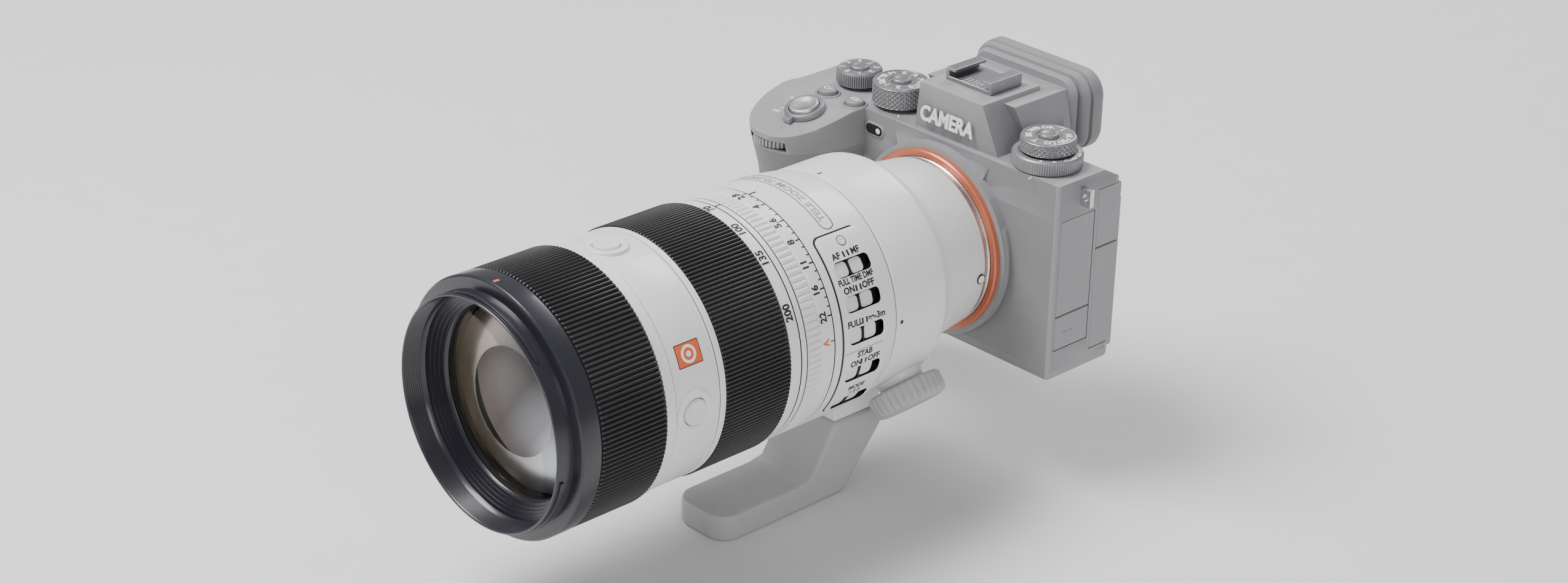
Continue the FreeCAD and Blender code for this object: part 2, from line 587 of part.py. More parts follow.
# ---- mount, sensor, battery, finder and shoe ----

node("mount_flange", turned([
    ("0", "throat_radius"), ("0", "flange_radius - 0.4"), ("0.4", "flange_radius"),
    ("boss_front", "flange_radius"),
    ("boss_front", "flange_radius - 3.3"), ("body_front", "flange_radius - 3.3"),
    ("body_front", "throat_radius"),
]))
node("mount_trim_ring", turned([
    ("trim_front", "flange_radius + 0.1"), ("trim_front", "trim_radius - 0.5"),
    ("trim_front + 0.5", "trim_radius"),
    ("boss_front", "trim_radius"), ("boss_front", "flange_radius + 0.1"),
]))
sensor_plate = box(("-27", "27"), ("sensor_plane + 1.2", "sensor_plane + 4"), ("-22", "20"))
sensor_glass = box(("-18", "18"), ("sensor_plane", "sensor_plane + 1.2"), ("-12", "12"))
sensor_posts = [
    rod("Y", "2", "sensor_plane + 4", "pan_floor - wall", (x, z))
    for x in ("-20", "24") for z in ("-19", "17")
]
node("image_sensor", fuse(sensor_plate, sensor_glass, *sensor_posts))
node("battery", slab(("cell_left", "cell_right"), ("cell_front", "cell_rear"), ("cell_low", "cell_high")))
node("eyepiece_lens", slab(("-window_half", "window_half"), ("housing_back - wall", "housing_back - 0.3"),
                           ("window_low", "window_high")))


def is_along_y(middle, room):
    return room.YLength > 1 and room.XLength < 0.01 and room.ZLength < 0.01


eyecup_block = rounded(slab(("-eyecup_half", "eyecup_half"), ("housing_back", "eyecup_back"),
                            ("eyecup_low", "eyecup_high")), "eyecup_round", is_along_y)
eyecup_hole = rounded(slab(("-eyecup_hole_half", "eyecup_hole_half"),
                           ("housing_back - 1", "eyecup_back + 1"),
                           ("eyecup_hole_low", "eyecup_hole_high")), "eyecup_round / 2", is_along_y)
node("eyecup", cut(eyecup_block, eyecup_hole))

shoe = extruded("XZ_Plane", [
    ("-shoe_half", "hump_top"), ("shoe_half", "hump_top"), ("shoe_half", "shoe_top"),
    ("shoe_mouth_half", "shoe_top"),
    ("shoe_mouth_half", "shoe_lip"), ("shoe_slot_half", "shoe_lip"), ("shoe_slot_half", "shoe_floor"),
    ("-shoe_slot_half", "shoe_floor"), ("-shoe_slot_half", "shoe_lip"), ("-shoe_mouth_half", "shoe_lip"),
    ("-shoe_mouth_half", "shoe_top"), ("-shoe_half", "shoe_top"),
], "shoe_front", "shoe_back")
node("hot_shoe", shoe)


def lug(side, sign):
    """A strap eye that stands out of one side of the body."""
    wide = (side, "%s + lug_reach" % side) if sign == "+" else ("%s - lug_reach" % side, side)
    plate = box(wide, ("lug_y - lug_thick / 2", "lug_y + lug_thick / 2"),
                ("lug_height - lug_half", "lug_height + lug_half"))
    hole = rod("Y", "lug_hole", "lug_y - lug_thick", "lug_y + lug_thick",
               ("%s %s lug_reach * 0.55" % (side, sign), "lug_height"))
    return cut(plate, hole)


node("strap_lugs", fuse(lug("port_side", "+"), lug("-grip_side", "-")))

# ---- dials and buttons ----


def dial_corners(control):
    """A knob on a hollow spindle that runs down through the top cover."""
    radius, base, top = (control + end for end in ("_radius", "_base", "_top"))
    return [
        ("spindle_bore", "spindle_foot"), ("spindle_radius", "spindle_foot"), ("spindle_radius", base),
        (radius, base), (radius, top + " - 0.6"), (radius + " - 0.6", top), ("spindle_bore", top),
    ]


for control in ("mode", "exposure", "drive"):
    centre = (control + "_x", control + "_y")
    node(control + "_dial", upright(dial_corners(control)), *centre)
    lock = disc("lock_radius", "spindle_foot - 1", control + "_top + lock_rise")
    node(control + "_dial_lock", upright(lock), *centre)

node("focus_mode_dial", upright([
    ("spindle_radius + ring_gap", "focus_dial_base"), ("focus_dial_radius", "focus_dial_base"),
    ("focus_dial_radius", "focus_dial_top - 0.5"), ("focus_dial_radius - 0.5", "focus_dial_top"),
    ("spindle_radius + ring_gap", "focus_dial_top"),
]), "drive_x", "drive_y")

for number, column in (("c1", "custom_one_x"), ("c2", "custom_two_x")):
    under = "top_height - wall"
    corners = plug("custom_radius", under + " - 1.6", under + " - 0.1", "top_height + custom_rise")
    node(number + "_button", upright(corners), column, "custom_y")

node("shutter_button", upright(disc("shutter_radius", "-4.5", "shutter_rise")),
     "shutter_x", "shutter_y", SHUTTER_SEAT, TILT)
lever_ring = upright([
    ("shutter_radius + ring_gap", "-3.6"), ("lever_hub", "-3.6"), ("lever_hub", "0.3"),
    ("lever_radius", "0.3"),
    ("lever_radius", "lever_rise - 0.5"), ("lever_radius - 0.5", "lever_rise"),
    ("shutter_radius + ring_gap", "lever_rise"),
])
lever_tab = box(("-1.6", "1.6"), ("-lever_reach", "-lever_radius + 0.6"), ("0.4", "lever_rise - 0.2"))
node("power_lever", fuse(lever_ring, lever_tab), "shutter_x", "shutter_y", SHUTTER_SEAT, TILT)

for control in ("front_dial", "rear_dial"):
    corners = disc(control + "_radius", control + "_low", control + "_high")
    node(control, upright(corners), control + "_x", control + "_y")

node("control_wheel", turned([
    ("body_rear - wall - 1", "wheel_bore"), ("body_rear - wall - 1", "wheel_hub"),
    ("body_rear + 0.3", "wheel_hub"),
    ("body_rear + 0.3", "wheel_radius"), ("body_rear + wheel_rise - 0.5", "wheel_radius"),
    ("body_rear + wheel_rise", "wheel_radius - 0.5"), ("body_rear + wheel_rise", "wheel_bore"),
]), "wheel_x", "0", "wheel_z")
node("wheel_button", turned([
    ("body_rear - wall - 1", "0"), ("body_rear - wall - 1", "centre_radius"),
    ("body_rear + centre_rise", "centre_radius"), ("body_rear + centre_rise", "0"),
]), "wheel_x", "0", "wheel_z")
node("af_on_button", turned([
    ("body_rear - wall - 1.6", "0"), ("body_rear - wall - 1.6", "af_radius + flange_width"),
    ("body_rear - wall - 0.1", "af_radius + flange_width"), ("body_rear - wall - 0.1", "af_radius"),
    ("body_rear + 1.6", "af_radius"), ("body_rear + 1.6", "0"),
]), "af_x", "0", "af_z")
node("joystick", turned([
    ("body_rear - wall - 6", "0"), ("body_rear - wall - 6", "stick_radius / 2"),
    ("body_rear", "stick_radius / 2"),
    ("body_rear + stick_rise - 2.2", "stick_radius"), ("body_rear + stick_rise", "stick_radius"),
    ("body_rear + stick_rise", "0"),
]), "stick_x", "0", "stick_z")
node("lens_release_button", turned([
    ("release_front", "0"), ("release_front", "release_radius"),
    ("body_front + wall + 0.1", "release_radius"),
    ("body_front + wall + 0.1", "release_radius + flange_width"),
    ("body_front + wall + 1.6", "release_radius + flange_width"), ("body_front + wall + 1.6", "0"),
]), "release_x", "0", "release_z")

# ---- doors ----

for name, (front, back, low, high) in DOORS.items():
    node(name + "_door", slab(("port_side - door_thick", "port_side"), (front, back), (low, high)))
node("card_door", slab(("-grip_side", "-grip_side + door_thick"), ("column_rear", "card_back"),
                       ("card_low", "card_high")))
node("battery_door", slab(("cell_left", "cell_right"), ("cell_front", "cell_rear"),
                          ("-base_depth", "-base_depth + door_thick")))

# ---- monitor and its tilting bracket ----

bracket_x = ("monitor_left - arm_width - 0.3", "monitor_right + arm_width + 0.3")
bracket_plate = box(bracket_x, ("bracket_front", "bracket_front + bracket_thick"),
                    ("pivot_height - bracket_thick / 2", "hinge_height - 2"))
arms = [
    box(ends, ("bracket_front", "hinge_back + hinge_radius + 0.1"),
        ("hinge_height - 6", "hinge_height + 1"))
    for ends in (("monitor_left - arm_width - 0.3", "monitor_left - 0.3"),
                 ("monitor_right + 0.3", "monitor_right + arm_width + 0.3"))
]
pins = [
    rod("X", "hinge_radius", start, end, ("hinge_back", "hinge_height"))
    for start, end in (("monitor_left - 1", "monitor_left + 4"), ("monitor_right - 4", "monitor_right + 1"))
]
node("monitor_bracket", fuse(bracket_plate, *arms, *pins))
socket_radius = "hinge_radius + running_gap"
sockets = [
    rod("X", socket_radius, start, end, ("hinge_back", "hinge_height"))
    for start, end in (("monitor_left - 1", "monitor_left + 4.3"),
                       ("monitor_right - 4.3", "monitor_right + 1"))
]
monitor_slab = box(("monitor_left", "monitor_right"), ("monitor_front", "monitor_back + 0.2"),
                   ("monitor_low", "monitor_high"))
node("monitor", cut(monitor_slab, *sockets))

# ---- lens: fixed barrel, rings, glass ----

core = "core_radius"
barrel = turned([
    ("front_joint", "glass_radius + 0.1"), ("front_joint", core), ("focus_back + ring_gap", core),
    ("focus_back + ring_gap", "band_radius"), ("zoom_front - ring_gap", "band_radius"),
    ("zoom_front - ring_gap", core), ("zoom_back + ring_gap", core),
    ("zoom_back + ring_gap", "band_radius"),
    ("aperture_front - ring_gap", "band_radius"), ("aperture_front - ring_gap", core),
    ("aperture_back + ring_gap", core), ("aperture_back + ring_gap", "band_radius"),
    ("collar_front - 13", "band_radius"), ("collar_front - ring_gap", "collar_radius"),
    ("collar_front - ring_gap", "collar_seat"), ("collar_back + ring_gap", "collar_seat"),
    ("collar_back + ring_gap", "neck_radius"), ("bayonet_seat", "neck_back_radius"),
    ("bayonet_seat", "bayonet_bore"),
    ("collar_back - 8", "bayonet_bore"), ("collar_back - 12", "barrel_bore"), ("glass_seat", "barrel_bore"),
    ("glass_seat", "glass_radius + 0.1"),
])
hold_bosses = []
hold_bores = []
for angle in HOLD_BUTTONS.values():
    boss = upright(disc("hold_boss", "band_radius - 3", "band_radius + hold_boss_rise"))
    hold_bosses.append(around(boss, angle, "hold_y"))
    bore = upright(disc("hold_radius + button_gap", "hold_depth - 1", "band_radius + 5"))
    hold_bores.append(around(bore, angle, "hold_y"))
slots = []
for angle in SWITCHES.values():
    slot = slab(("-switch_half", "switch_half"), ("switch_front", "switch_back"),
                ("switch_floor", "band_radius + 5"))
    slots.append(around(slot, angle))
node("lens_barrel", cut(fuse(barrel, *hold_bosses), *hold_bores, *slots))

node("lens_bayonet", turned([
    ("bayonet_seat", "bayonet_bore"), ("bayonet_seat", "neck_back_radius - 1"),
    ("-flange_gap", "neck_back_radius - 1"), ("-flange_gap", "throat_radius - running_gap"),
    ("bayonet_back", "throat_radius - running_gap"),
    ("bayonet_back", "bayonet_bore"),
]))
node("front_ring", turned([
    ("lens_front", "thread_radius"), ("lens_front", "lip_radius"), ("hood_front", "lip_radius"),
    ("hood_front", "hood_radius"), ("front_joint", "hood_radius"), ("front_joint", "glass_radius + 0.1"),
    ("front_joint - 2", "glass_radius - 0.6"), ("thread_back", "thread_radius - 1.5"),
    ("thread_back", "thread_radius"),
]))
dome = doc.addObject("Part::Sphere", "Dome")
dome.setExpression("Radius", formula("glass_curve", "mm"))
put(dome, "0", "glass_apex + glass_curve", "0")
node("front_element", common(dome, rod("Y", "glass_radius", "glass_apex - 1", "glass_seat")))
node("zoom_group", turned([
    ("group_front", "0"), ("group_front", "group_radius"), ("group_back", "group_radius"),
    ("group_back", "0"),
]))

seat = "core_radius + ring_gap"
node("focus_ring", turned([
    ("front_joint + ring_gap", seat), ("front_joint + ring_gap", "sleeve_radius"),
    ("focus_grip_back", "sleeve_radius"),
    ("focus_grip_back", "focus_lip_radius"), ("focus_back", "focus_lip_radius"), ("focus_back", seat),
]))
node("focus_grip", turned([
    ("front_joint + ring_gap", "sleeve_radius"), ("front_joint + ring_gap", "focus_grip_radius"),
    ("focus_grip_back", "focus_grip_radius"), ("focus_grip_back", "sleeve_radius"),
]))
node("zoom_ring", turned([
    ("zoom_front", seat), ("zoom_front", "band_radius"), ("zoom_grip_front", "band_radius"),
    ("zoom_grip_front", "sleeve_radius"), ("zoom_grip_back", "sleeve_radius"),
    ("zoom_grip_back", "band_radius"),
    ("zoom_back", "band_radius"), ("zoom_back", seat),
]))
node("zoom_grip", turned([
    ("zoom_grip_front", "sleeve_radius"), ("zoom_grip_front", "zoom_grip_radius"),
    ("zoom_grip_back", "zoom_grip_radius"), ("zoom_grip_back", "sleeve_radius"),
]))
node("aperture_ring", turned([
    ("aperture_front", seat), ("aperture_front", "band_radius"), ("aperture_back", "band_radius"),
    ("aperture_back", seat),
]))

for name, angle in HOLD_BUTTONS.items():
    button = upright(disc("hold_radius", "hold_depth", "band_radius + hold_rise"))
    node(name, button, "0", "hold_y", "0", FreeCAD.Rotation(Y_AXIS, angle))

for name, angle in SWITCHES.items():
    side = "switch_half - button_gap"
    start = "switch_front + button_gap"
    end = "switch_back - switch_travel - button_gap"
    slider = box(("-(%s)" % side, side), (start, end), ("switch_floor + 0.3", "band_radius - 1"))
    centre = "(%s + %s) / 2" % (start, end)
    ridge = box(("-(%s)" % side, side), (centre + " - 1", centre + " + 1"),
                ("band_radius - 1.5", "band_radius + switch_ridge"))
    node(name, fuse(slider, ridge), turn=FreeCAD.Rotation(Y_AXIS, angle))

# ---- tripod collar, knob and foot ----

ring = turned([
    ("collar_front", "collar_seat + ring_gap"), ("collar_front", "collar_radius - 0.6"),
    ("collar_front + 0.6", "collar_radius"), ("collar_shoulder", "collar_radius"),
    ("collar_shoulder + 2.5", "collar_radius - 1"), ("collar_back", "collar_back_radius"),
    ("collar_back", "collar_seat + ring_gap"),
])
pad = box(("-pad_half", "pad_half"), ("pad_front", "pad_back"), ("pad_low", "-collar_seat - 2"))
knob_turn = SIZES["knob_angle"]
knob_boss = upright(disc("knob_boss_radius", "collar_seat + 2", "knob_boss_outer"))
around(knob_boss, knob_turn, "knob_y")
screw_bore = upright(disc("screw_radius + running_gap", "collar_seat - 2", "knob_boss_outer + 1"))
around(screw_bore, knob_turn, "knob_y")
ring_bore = rod("Y", "collar_seat + ring_gap", "collar_front - 1", "collar_back + 1")
node("tripod_collar", cut(fuse(ring, pad, knob_boss), screw_bore, ring_bore))
node("collar_knob", upright([
    ("0", "screw_inner"), ("screw_radius", "screw_inner"), ("screw_radius", "knob_inner"),
    ("knob_radius", "knob_inner"),
    ("knob_radius", "knob_outer - 1.5"), ("knob_radius - 1.5", "knob_outer"), ("0", "knob_outer"),
]), "0", "knob_y", "0", FreeCAD.Rotation(Y_AXIS, knob_turn))

sole = "-axis_height"
foot_corners = [
    ("foot_front", sole), ("foot_heel", sole), ("arm_back", "arm_back_low"), ("arm_back", "pad_low"),
    ("pad_front", "pad_low"), ("arm_front", sole + " + sole_thick + 1"),
    ("arm_kink", sole + " + sole_thick"),
    ("foot_front", sole + " + sole_thick"),
]


def is_foot_corner(middle, room):
    return room.ZLength > 5 and room.YLength < 0.01 and middle.y < SIZES["foot_front"] + 0.01


foot = rounded(extruded("YZ_Plane", foot_corners, "-foot_half", "foot_half"), "foot_round", is_foot_corner)
foot_thread = rod("Z", "foot_thread_radius", sole + " - 1", sole + " + foot_thread_depth",
                  ("0", "-flange_setback"))
node("tripod_foot", cut(foot, foot_thread))

# ---- build, check and write ----

doc.recompute()
for item in doc.Objects:
    if "Invalid" in item.State or "Error" in item.State:
        raise RuntimeError("%s (%s) failed: %s" % (item.Name, item.Label, item.State))
for item in NODES:
    if item.Shape.isNull() or not item.Shape.isValid():
        raise RuntimeError("%s has no valid shape" % item.Label)
os.makedirs("parts", exist_ok=True)
for item in NODES:
    item.Shape.exportStep("parts/%s.step" % item.Label)
    print(item.Label, len(item.Shape.Solids), round(item.Shape.Volume / 1000, 2))
print(len(NODES), "nodes")
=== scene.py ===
import json
import math

import bmesh
import bpy
from mathutils import Matrix, Vector

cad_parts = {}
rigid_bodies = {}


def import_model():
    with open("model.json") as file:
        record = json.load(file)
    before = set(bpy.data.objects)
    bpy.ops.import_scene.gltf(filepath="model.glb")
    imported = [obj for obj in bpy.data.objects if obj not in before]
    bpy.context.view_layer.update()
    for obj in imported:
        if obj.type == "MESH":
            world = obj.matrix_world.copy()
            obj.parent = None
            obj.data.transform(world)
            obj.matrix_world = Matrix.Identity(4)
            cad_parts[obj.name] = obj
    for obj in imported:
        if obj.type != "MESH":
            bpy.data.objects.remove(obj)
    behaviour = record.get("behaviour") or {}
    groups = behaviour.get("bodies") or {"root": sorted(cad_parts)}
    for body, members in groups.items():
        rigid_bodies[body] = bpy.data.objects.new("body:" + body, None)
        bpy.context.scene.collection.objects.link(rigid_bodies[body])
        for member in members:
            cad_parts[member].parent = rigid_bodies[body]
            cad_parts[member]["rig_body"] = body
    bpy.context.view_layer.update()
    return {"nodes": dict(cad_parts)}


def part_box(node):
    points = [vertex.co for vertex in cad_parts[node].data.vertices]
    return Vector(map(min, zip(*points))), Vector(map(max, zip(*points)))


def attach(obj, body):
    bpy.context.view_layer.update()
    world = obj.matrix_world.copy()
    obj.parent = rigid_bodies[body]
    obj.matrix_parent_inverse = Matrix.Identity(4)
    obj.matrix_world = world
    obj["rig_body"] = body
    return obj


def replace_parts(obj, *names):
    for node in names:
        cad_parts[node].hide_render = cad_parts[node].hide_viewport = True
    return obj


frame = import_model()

# Lengths below are millimetres in the mount's frame: the lens axis is Y through the origin, the mounting
# flange is y = 0 and the lens points to -Y. place() turns them into the row's metres.
MM = 0.001
NODES = frame["nodes"]


def middle(node, axis):
    low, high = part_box(node)
    return (low[axis] + high[axis]) / 2


AXIS_X = middle("mount_flange", 0)
AXIS_Z = middle("mount_flange", 2)
FLANGE_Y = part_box("mount_flange")[0].y
SHIFT = Vector((AXIS_X, FLANGE_Y, AXIS_Z))


def place(x, y, z):
    return Vector((x, y, z)) * MM + SHIFT


def span(node, axis):
    """A node's low and high side along one axis, in millimetres of the mount's frame."""
    low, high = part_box(node)
    return (low[axis] - SHIFT[axis]) / MM, (high[axis] - SHIFT[axis]) / MM


def radius_of(node):
    low, high = span(node, 2)
    return (high - low) / 2


# ---- materials ----

def new_material(name):
    material = bpy.data.materials.new(name)
    material.use_nodes = True
    tree = material.node_tree
    return material, tree, tree.nodes["Principled BSDF"]


def texture(tree, kind, scale, detail=2.0, roughness=0.5):
    node = tree.nodes.new(kind)
    node.inputs["Scale"].default_value = scale
    if kind == "ShaderNodeTexNoise":
        node.inputs["Detail"].default_value = detail
        node.inputs["Roughness"].default_value = roughness
    where = tree.nodes.new("ShaderNodeTexCoord")
    tree.links.new(where.outputs["Object"], node.inputs["Vector"])
    return node


def ramp(tree, source, stops):
    node = tree.nodes.new("ShaderNodeValToRGB")
    elements = node.color_ramp.elements
    while len(elements) < len(stops):
        elements.new(0.5)
    for element, (place_on, color) in zip(elements, stops):
        element.position = place_on
        element.color = (*color, 1)
    tree.links.new(source, node.inputs["Fac"])
    return node


def spread(tree, source, low, high):
    node = tree.nodes.new("ShaderNodeMapRange")
    node.inputs["To Min"].default_value = low
    node.inputs["To Max"].default_value = high
    tree.links.new(source, node.inputs["Value"])
    return node.outputs["Result"]


def shade(color, factor):
    return tuple(min(1.0, c * factor) for c in color)


def finish(name, color, rough, metallic=0.0, grain=9000.0, bump=0.15, depth=0.00003, mottling=0.06,
           coat=0.0, pebbles=False, painted_edge_highlight=0.0, specular=0.5):
    """A finish with fine grain in its bump, slight mottling of its colour, and uneven gloss; where asked, a
    painted highlight lightens its sharp convex edges.
    """
    material, tree, shader = new_material(name)
    shader.inputs["Metallic"].default_value = metallic
    shader.inputs["Coat Weight"].default_value = coat
    shader.inputs["Coat Roughness"].default_value = 0.12
    shader.inputs["Specular IOR Level"].default_value = specular
    cloud = texture(tree, "ShaderNodeTexNoise", 60.0, 4.0)
    tint = ramp(tree, cloud.outputs["Fac"], [(0.3, shade(color, 1 - mottling)),
                                             (0.7, shade(color, 1 + mottling))])
    base = tint.outputs["Color"]
    # Painted highlight: the colour is lightened along sharp convex edges, found by pointiness.
    if painted_edge_highlight:
        edge = tree.nodes.new("ShaderNodeNewGeometry")
        edge_highlight_mask = ramp(tree, edge.outputs["Pointiness"], [(0.515, (0, 0, 0)), (0.56, (painted_edge_highlight, painted_edge_highlight, painted_edge_highlight))])
        mix = tree.nodes.new("ShaderNodeMix")
        mix.data_type = "RGBA"
        mix.inputs["B"].default_value = (*shade(color, 2.1), 1)
        tree.links.new(edge_highlight_mask.outputs["Color"], mix.inputs["Factor"])
        tree.links.new(base, mix.inputs["A"])
        base = mix.outputs["Result"]
    tree.links.new(base, shader.inputs["Base Color"])
    fine = texture(tree, "ShaderNodeTexNoise", grain, 3.0)
    height = fine.outputs["Fac"]
    if pebbles:
        cells = texture(tree, "ShaderNodeTexVoronoi", grain)
        height = spread(tree, cells.outputs["Distance"], 1.0, 0.0)
    tree.links.new(spread(tree, fine.outputs["Fac"], rough - 0.06, rough + 0.06), shader.inputs["Roughness"])
    relief = tree.nodes.new("ShaderNodeBump")
    relief.inputs["Strength"].default_value = bump
    relief.inputs["Distance"].default_value = depth
    tree.links.new(height, relief.inputs["Height"])
    tree.links.new(relief.outputs["Normal"], shader.inputs["Normal"])
    return material


def brushed(name, color, rough, scale=(400.0, 20.0, 400.0), bump=0.1):
    """Metal with fine lines across it."""
    material, tree, shader = new_material(name)
    shader.inputs["Metallic"].default_value = 1.0
    where = tree.nodes.new("ShaderNodeTexCoord")
    stretch = tree.nodes.new("ShaderNodeMapping")
    stretch.inputs["Scale"].default_value = scale
    tree.links.new(where.outputs["Object"], stretch.inputs["Vector"])
    lines = tree.nodes.new("ShaderNodeTexNoise")
    lines.inputs["Scale"].default_value = 12.0
    lines.inputs["Detail"].default_value = 5.0
    tree.links.new(stretch.outputs["Vector"], lines.inputs["Vector"])
    tint = ramp(tree, lines.outputs["Fac"], [(0.35, shade(color, 0.88)), (0.65, shade(color, 1.08))])
    tree.links.new(tint.outputs["Color"], shader.inputs["Base Color"])
    tree.links.new(spread(tree, lines.outputs["Fac"], rough - 0.05, rough + 0.08), shader.inputs["Roughness"])
    relief = tree.nodes.new("ShaderNodeBump")
    relief.inputs["Strength"].default_value = bump
    relief.inputs["Distance"].default_value = 0.00002
    tree.links.new(lines.outputs["Fac"], relief.inputs["Height"])
    tree.links.new(relief.outputs["Normal"], shader.inputs["Normal"])
    return material


def coated_glass(name, tint, film, clear):
    """Optical glass with a thin anti-reflection film."""
    material, tree, shader = new_material(name)
    shader.inputs["Base Color"].default_value = (*tint, 1)
    shader.inputs["Transmission Weight"].default_value = clear
    shader.inputs["IOR"].default_value = 1.62
    shader.inputs["Thin Film Thickness"].default_value = film
    shader.inputs["Thin Film IOR"].default_value = 1.38
    dust = texture(tree, "ShaderNodeTexNoise", 300.0, 6.0)
    tree.links.new(spread(tree, dust.outputs["Fac"], 0.0, 0.05), shader.inputs["Roughness"])
    return material


def painted_reflection_glass(name):
    """The inner elements as one glossy bowl whose colour is a painted reflection: olive and dark on the grip
    side, a painted bright band on the other, and a painted peach highlight near the top.
    """
    material, tree, shader = new_material(name)
    shader.inputs["Metallic"].default_value = 0.75
    shader.inputs["Roughness"].default_value = 0.3
    where = tree.nodes.new("ShaderNodeTexCoord")
    shares = []
    for across, offset in (((10.5, 0, -7.5), 0.5 + 7.5 * AXIS_Z), ((-7.0, 0, 12.0), 0.5 - 12.0 * AXIS_Z)):
        dot = tree.nodes.new("ShaderNodeVectorMath")
        dot.operation = "DOT_PRODUCT"
        dot.inputs[1].default_value = across
        tree.links.new(where.outputs["Object"], dot.inputs[0])
        total = tree.nodes.new("ShaderNodeMath")
        total.operation = "ADD"
        total.inputs[1].default_value = offset
        tree.links.new(dot.outputs["Value"], total.inputs[0])
        shares.append(total.outputs["Value"])
    # Painted reflection: the colour runs from dark and olive to a bright white band across the bowl, in place
    # of the lamps and floor it would mirror.
    base = ramp(tree, shares[0], [(0.08, (0.02, 0.021, 0.018)), (0.2, (0.2, 0.205, 0.175)),
                                  (0.36, (0.24, 0.23, 0.22)), (0.52, (0.12, 0.118, 0.12)),
                                  (0.68, (0.3, 0.31, 0.34)), (0.8, (1.0, 1.0, 1.0)),
                                  (0.95, (0.3, 0.31, 0.36))])
    # Painted highlight: a peach patch towards the top of the bowl.
    peach_highlight_mask = ramp(tree, shares[1], [(0.72, (0, 0, 0)), (0.88, (0.75, 0.75, 0.75)), (1.0, (0.1, 0.1, 0.1))])
    mix = tree.nodes.new("ShaderNodeMix")
    mix.data_type = "RGBA"
    mix.inputs["B"].default_value = (0.95, 0.72, 0.6, 1)
    tree.links.new(peach_highlight_mask.outputs["Color"], mix.inputs["Factor"])
    tree.links.new(base.outputs["Color"], mix.inputs["A"])
    tree.links.new(mix.outputs["Result"], shader.inputs["Base Color"])
    return material


GREY = (0.225, 0.225, 0.232)
WHITE = (0.80, 0.795, 0.78)
M = {
    "body": finish("body_paint", GREY, 0.5, grain=5200.0, bump=0.5, depth=0.00005, painted_edge_highlight=0.35),
    "door": finish("door_skin", shade(GREY, 1.08), 0.56, grain=6500.0, bump=0.3, depth=0.00003, painted_edge_highlight=0.2),
    "grip": finish("grip_skin", shade(GREY, 0.9), 0.68, grain=1500.0, bump=0.9, depth=0.00018, pebbles=True),
    "cup": finish("eyecup_rubber", shade(GREY, 0.95), 0.62, grain=7000.0, bump=0.25, painted_edge_highlight=0.2),
    "dial": finish("dial_metal", shade(GREY, 1.1), 0.36, metallic=0.55, grain=8000.0, bump=0.12, painted_edge_highlight=0.5),
    "button": finish("button_grey", shade(GREY, 1.05), 0.42, grain=8000.0, bump=0.15, painted_edge_highlight=0.3),
    "shoe": brushed("shoe_metal", (0.36, 0.36, 0.37), 0.38),
    "steel": brushed("mount_steel", (0.68, 0.68, 0.7), 0.25),
    "release": brushed("release_disc", (0.56, 0.56, 0.57), 0.42, (30.0, 30.0, 30.0)),
    "orange": finish("orange_ring", (0.56, 0.15, 0.075), 0.34, metallic=0.35, grain=9000.0, bump=0.08,
                     coat=0.3),
    "white": finish("lens_paint", WHITE, 0.34, grain=7500.0, bump=0.22, depth=0.00003, mottling=0.012,
                    coat=0.15),
    "whitebutton": finish("button_white", shade(WHITE, 0.95), 0.38, grain=8000.0, bump=0.1, mottling=0.015),
    "rubber": finish("ribbed_rubber", (0.021, 0.021, 0.022), 0.38, grain=6000.0, bump=0.35, mottling=0.15),
    "black": finish("front_black", (0.018, 0.0165, 0.024), 0.3, grain=9000.0, bump=0.1, coat=0.25,
                    mottling=0.1),
    "matt": finish("inside_black", (0.008, 0.008, 0.008), 0.75, grain=3000.0, bump=0.2, mottling=0.2),
    "foot": finish("foot_paint", (0.44, 0.44, 0.437), 0.38, grain=7000.0, bump=0.2, mottling=0.02, coat=0.1),
    "ink": finish("ink_black", (0.012, 0.012, 0.012), 0.5, grain=9000.0, bump=0.05),
    "paint": finish("ink_white", (0.85, 0.85, 0.85), 0.5, grain=9000.0, bump=0.05, mottling=0.02),
    "ember": finish("ink_orange", (0.78, 0.13, 0.04), 0.42, grain=9000.0, bump=0.05, mottling=0.03),
    # Painted shade for the gap rings and the switch panel's outline; the same near-black also serves for dark
    # print lines.
    "groove": finish("groove_shadow", (0.014, 0.014, 0.015), 0.7, grain=5000.0, bump=0.1),
    "screen": finish("screen_glass", (0.012, 0.012, 0.014), 0.12, grain=900.0, bump=0.02, coat=0.6),
    "glass": coated_glass("front_glass", (0.96, 0.965, 0.955), 105.0, 1.0),
    "inner": coated_glass("inner_glass", (0.9, 0.89, 0.87), 140.0, 0.35),
    # painted reflection colours for the inner bowl
    "painted_reflection": painted_reflection_glass("inner_painted_reflection"),
    "window": coated_glass("finder_glass", (0.5, 0.52, 0.55), 350.0, 0.5),
    "chip": finish("sensor_face", (0.02, 0.05, 0.045), 0.2, grain=2000.0, bump=0.05, coat=0.5),
    "cell": finish("battery_case", (0.03, 0.03, 0.032), 0.45, grain=5000.0, bump=0.1),
}


# ---- meshes ----

def add(name, verts, faces, material, body, sharp=35.0):
    """A smooth-shaded mesh piece, in millimetres of the mount's frame, that rides on a body."""
    mesh = bpy.data.meshes.new(name)
    mesh.from_pydata([place(*v) for v in verts], [], faces)
    work = bmesh.new()
    work.from_mesh(mesh)
    bmesh.ops.remove_doubles(work, verts=work.verts, dist=1e-7)
    bmesh.ops.recalc_face_normals(work, faces=work.faces)
    work.to_mesh(mesh)
    work.free()
    mesh.shade_smooth()
    mesh.set_sharp_from_angle(angle=math.radians(sharp))
    mesh.materials.append(material)
    item = bpy.data.objects.new(name, mesh)
    bpy.context.scene.collection.objects.link(item)
    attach(item, body)
    return item


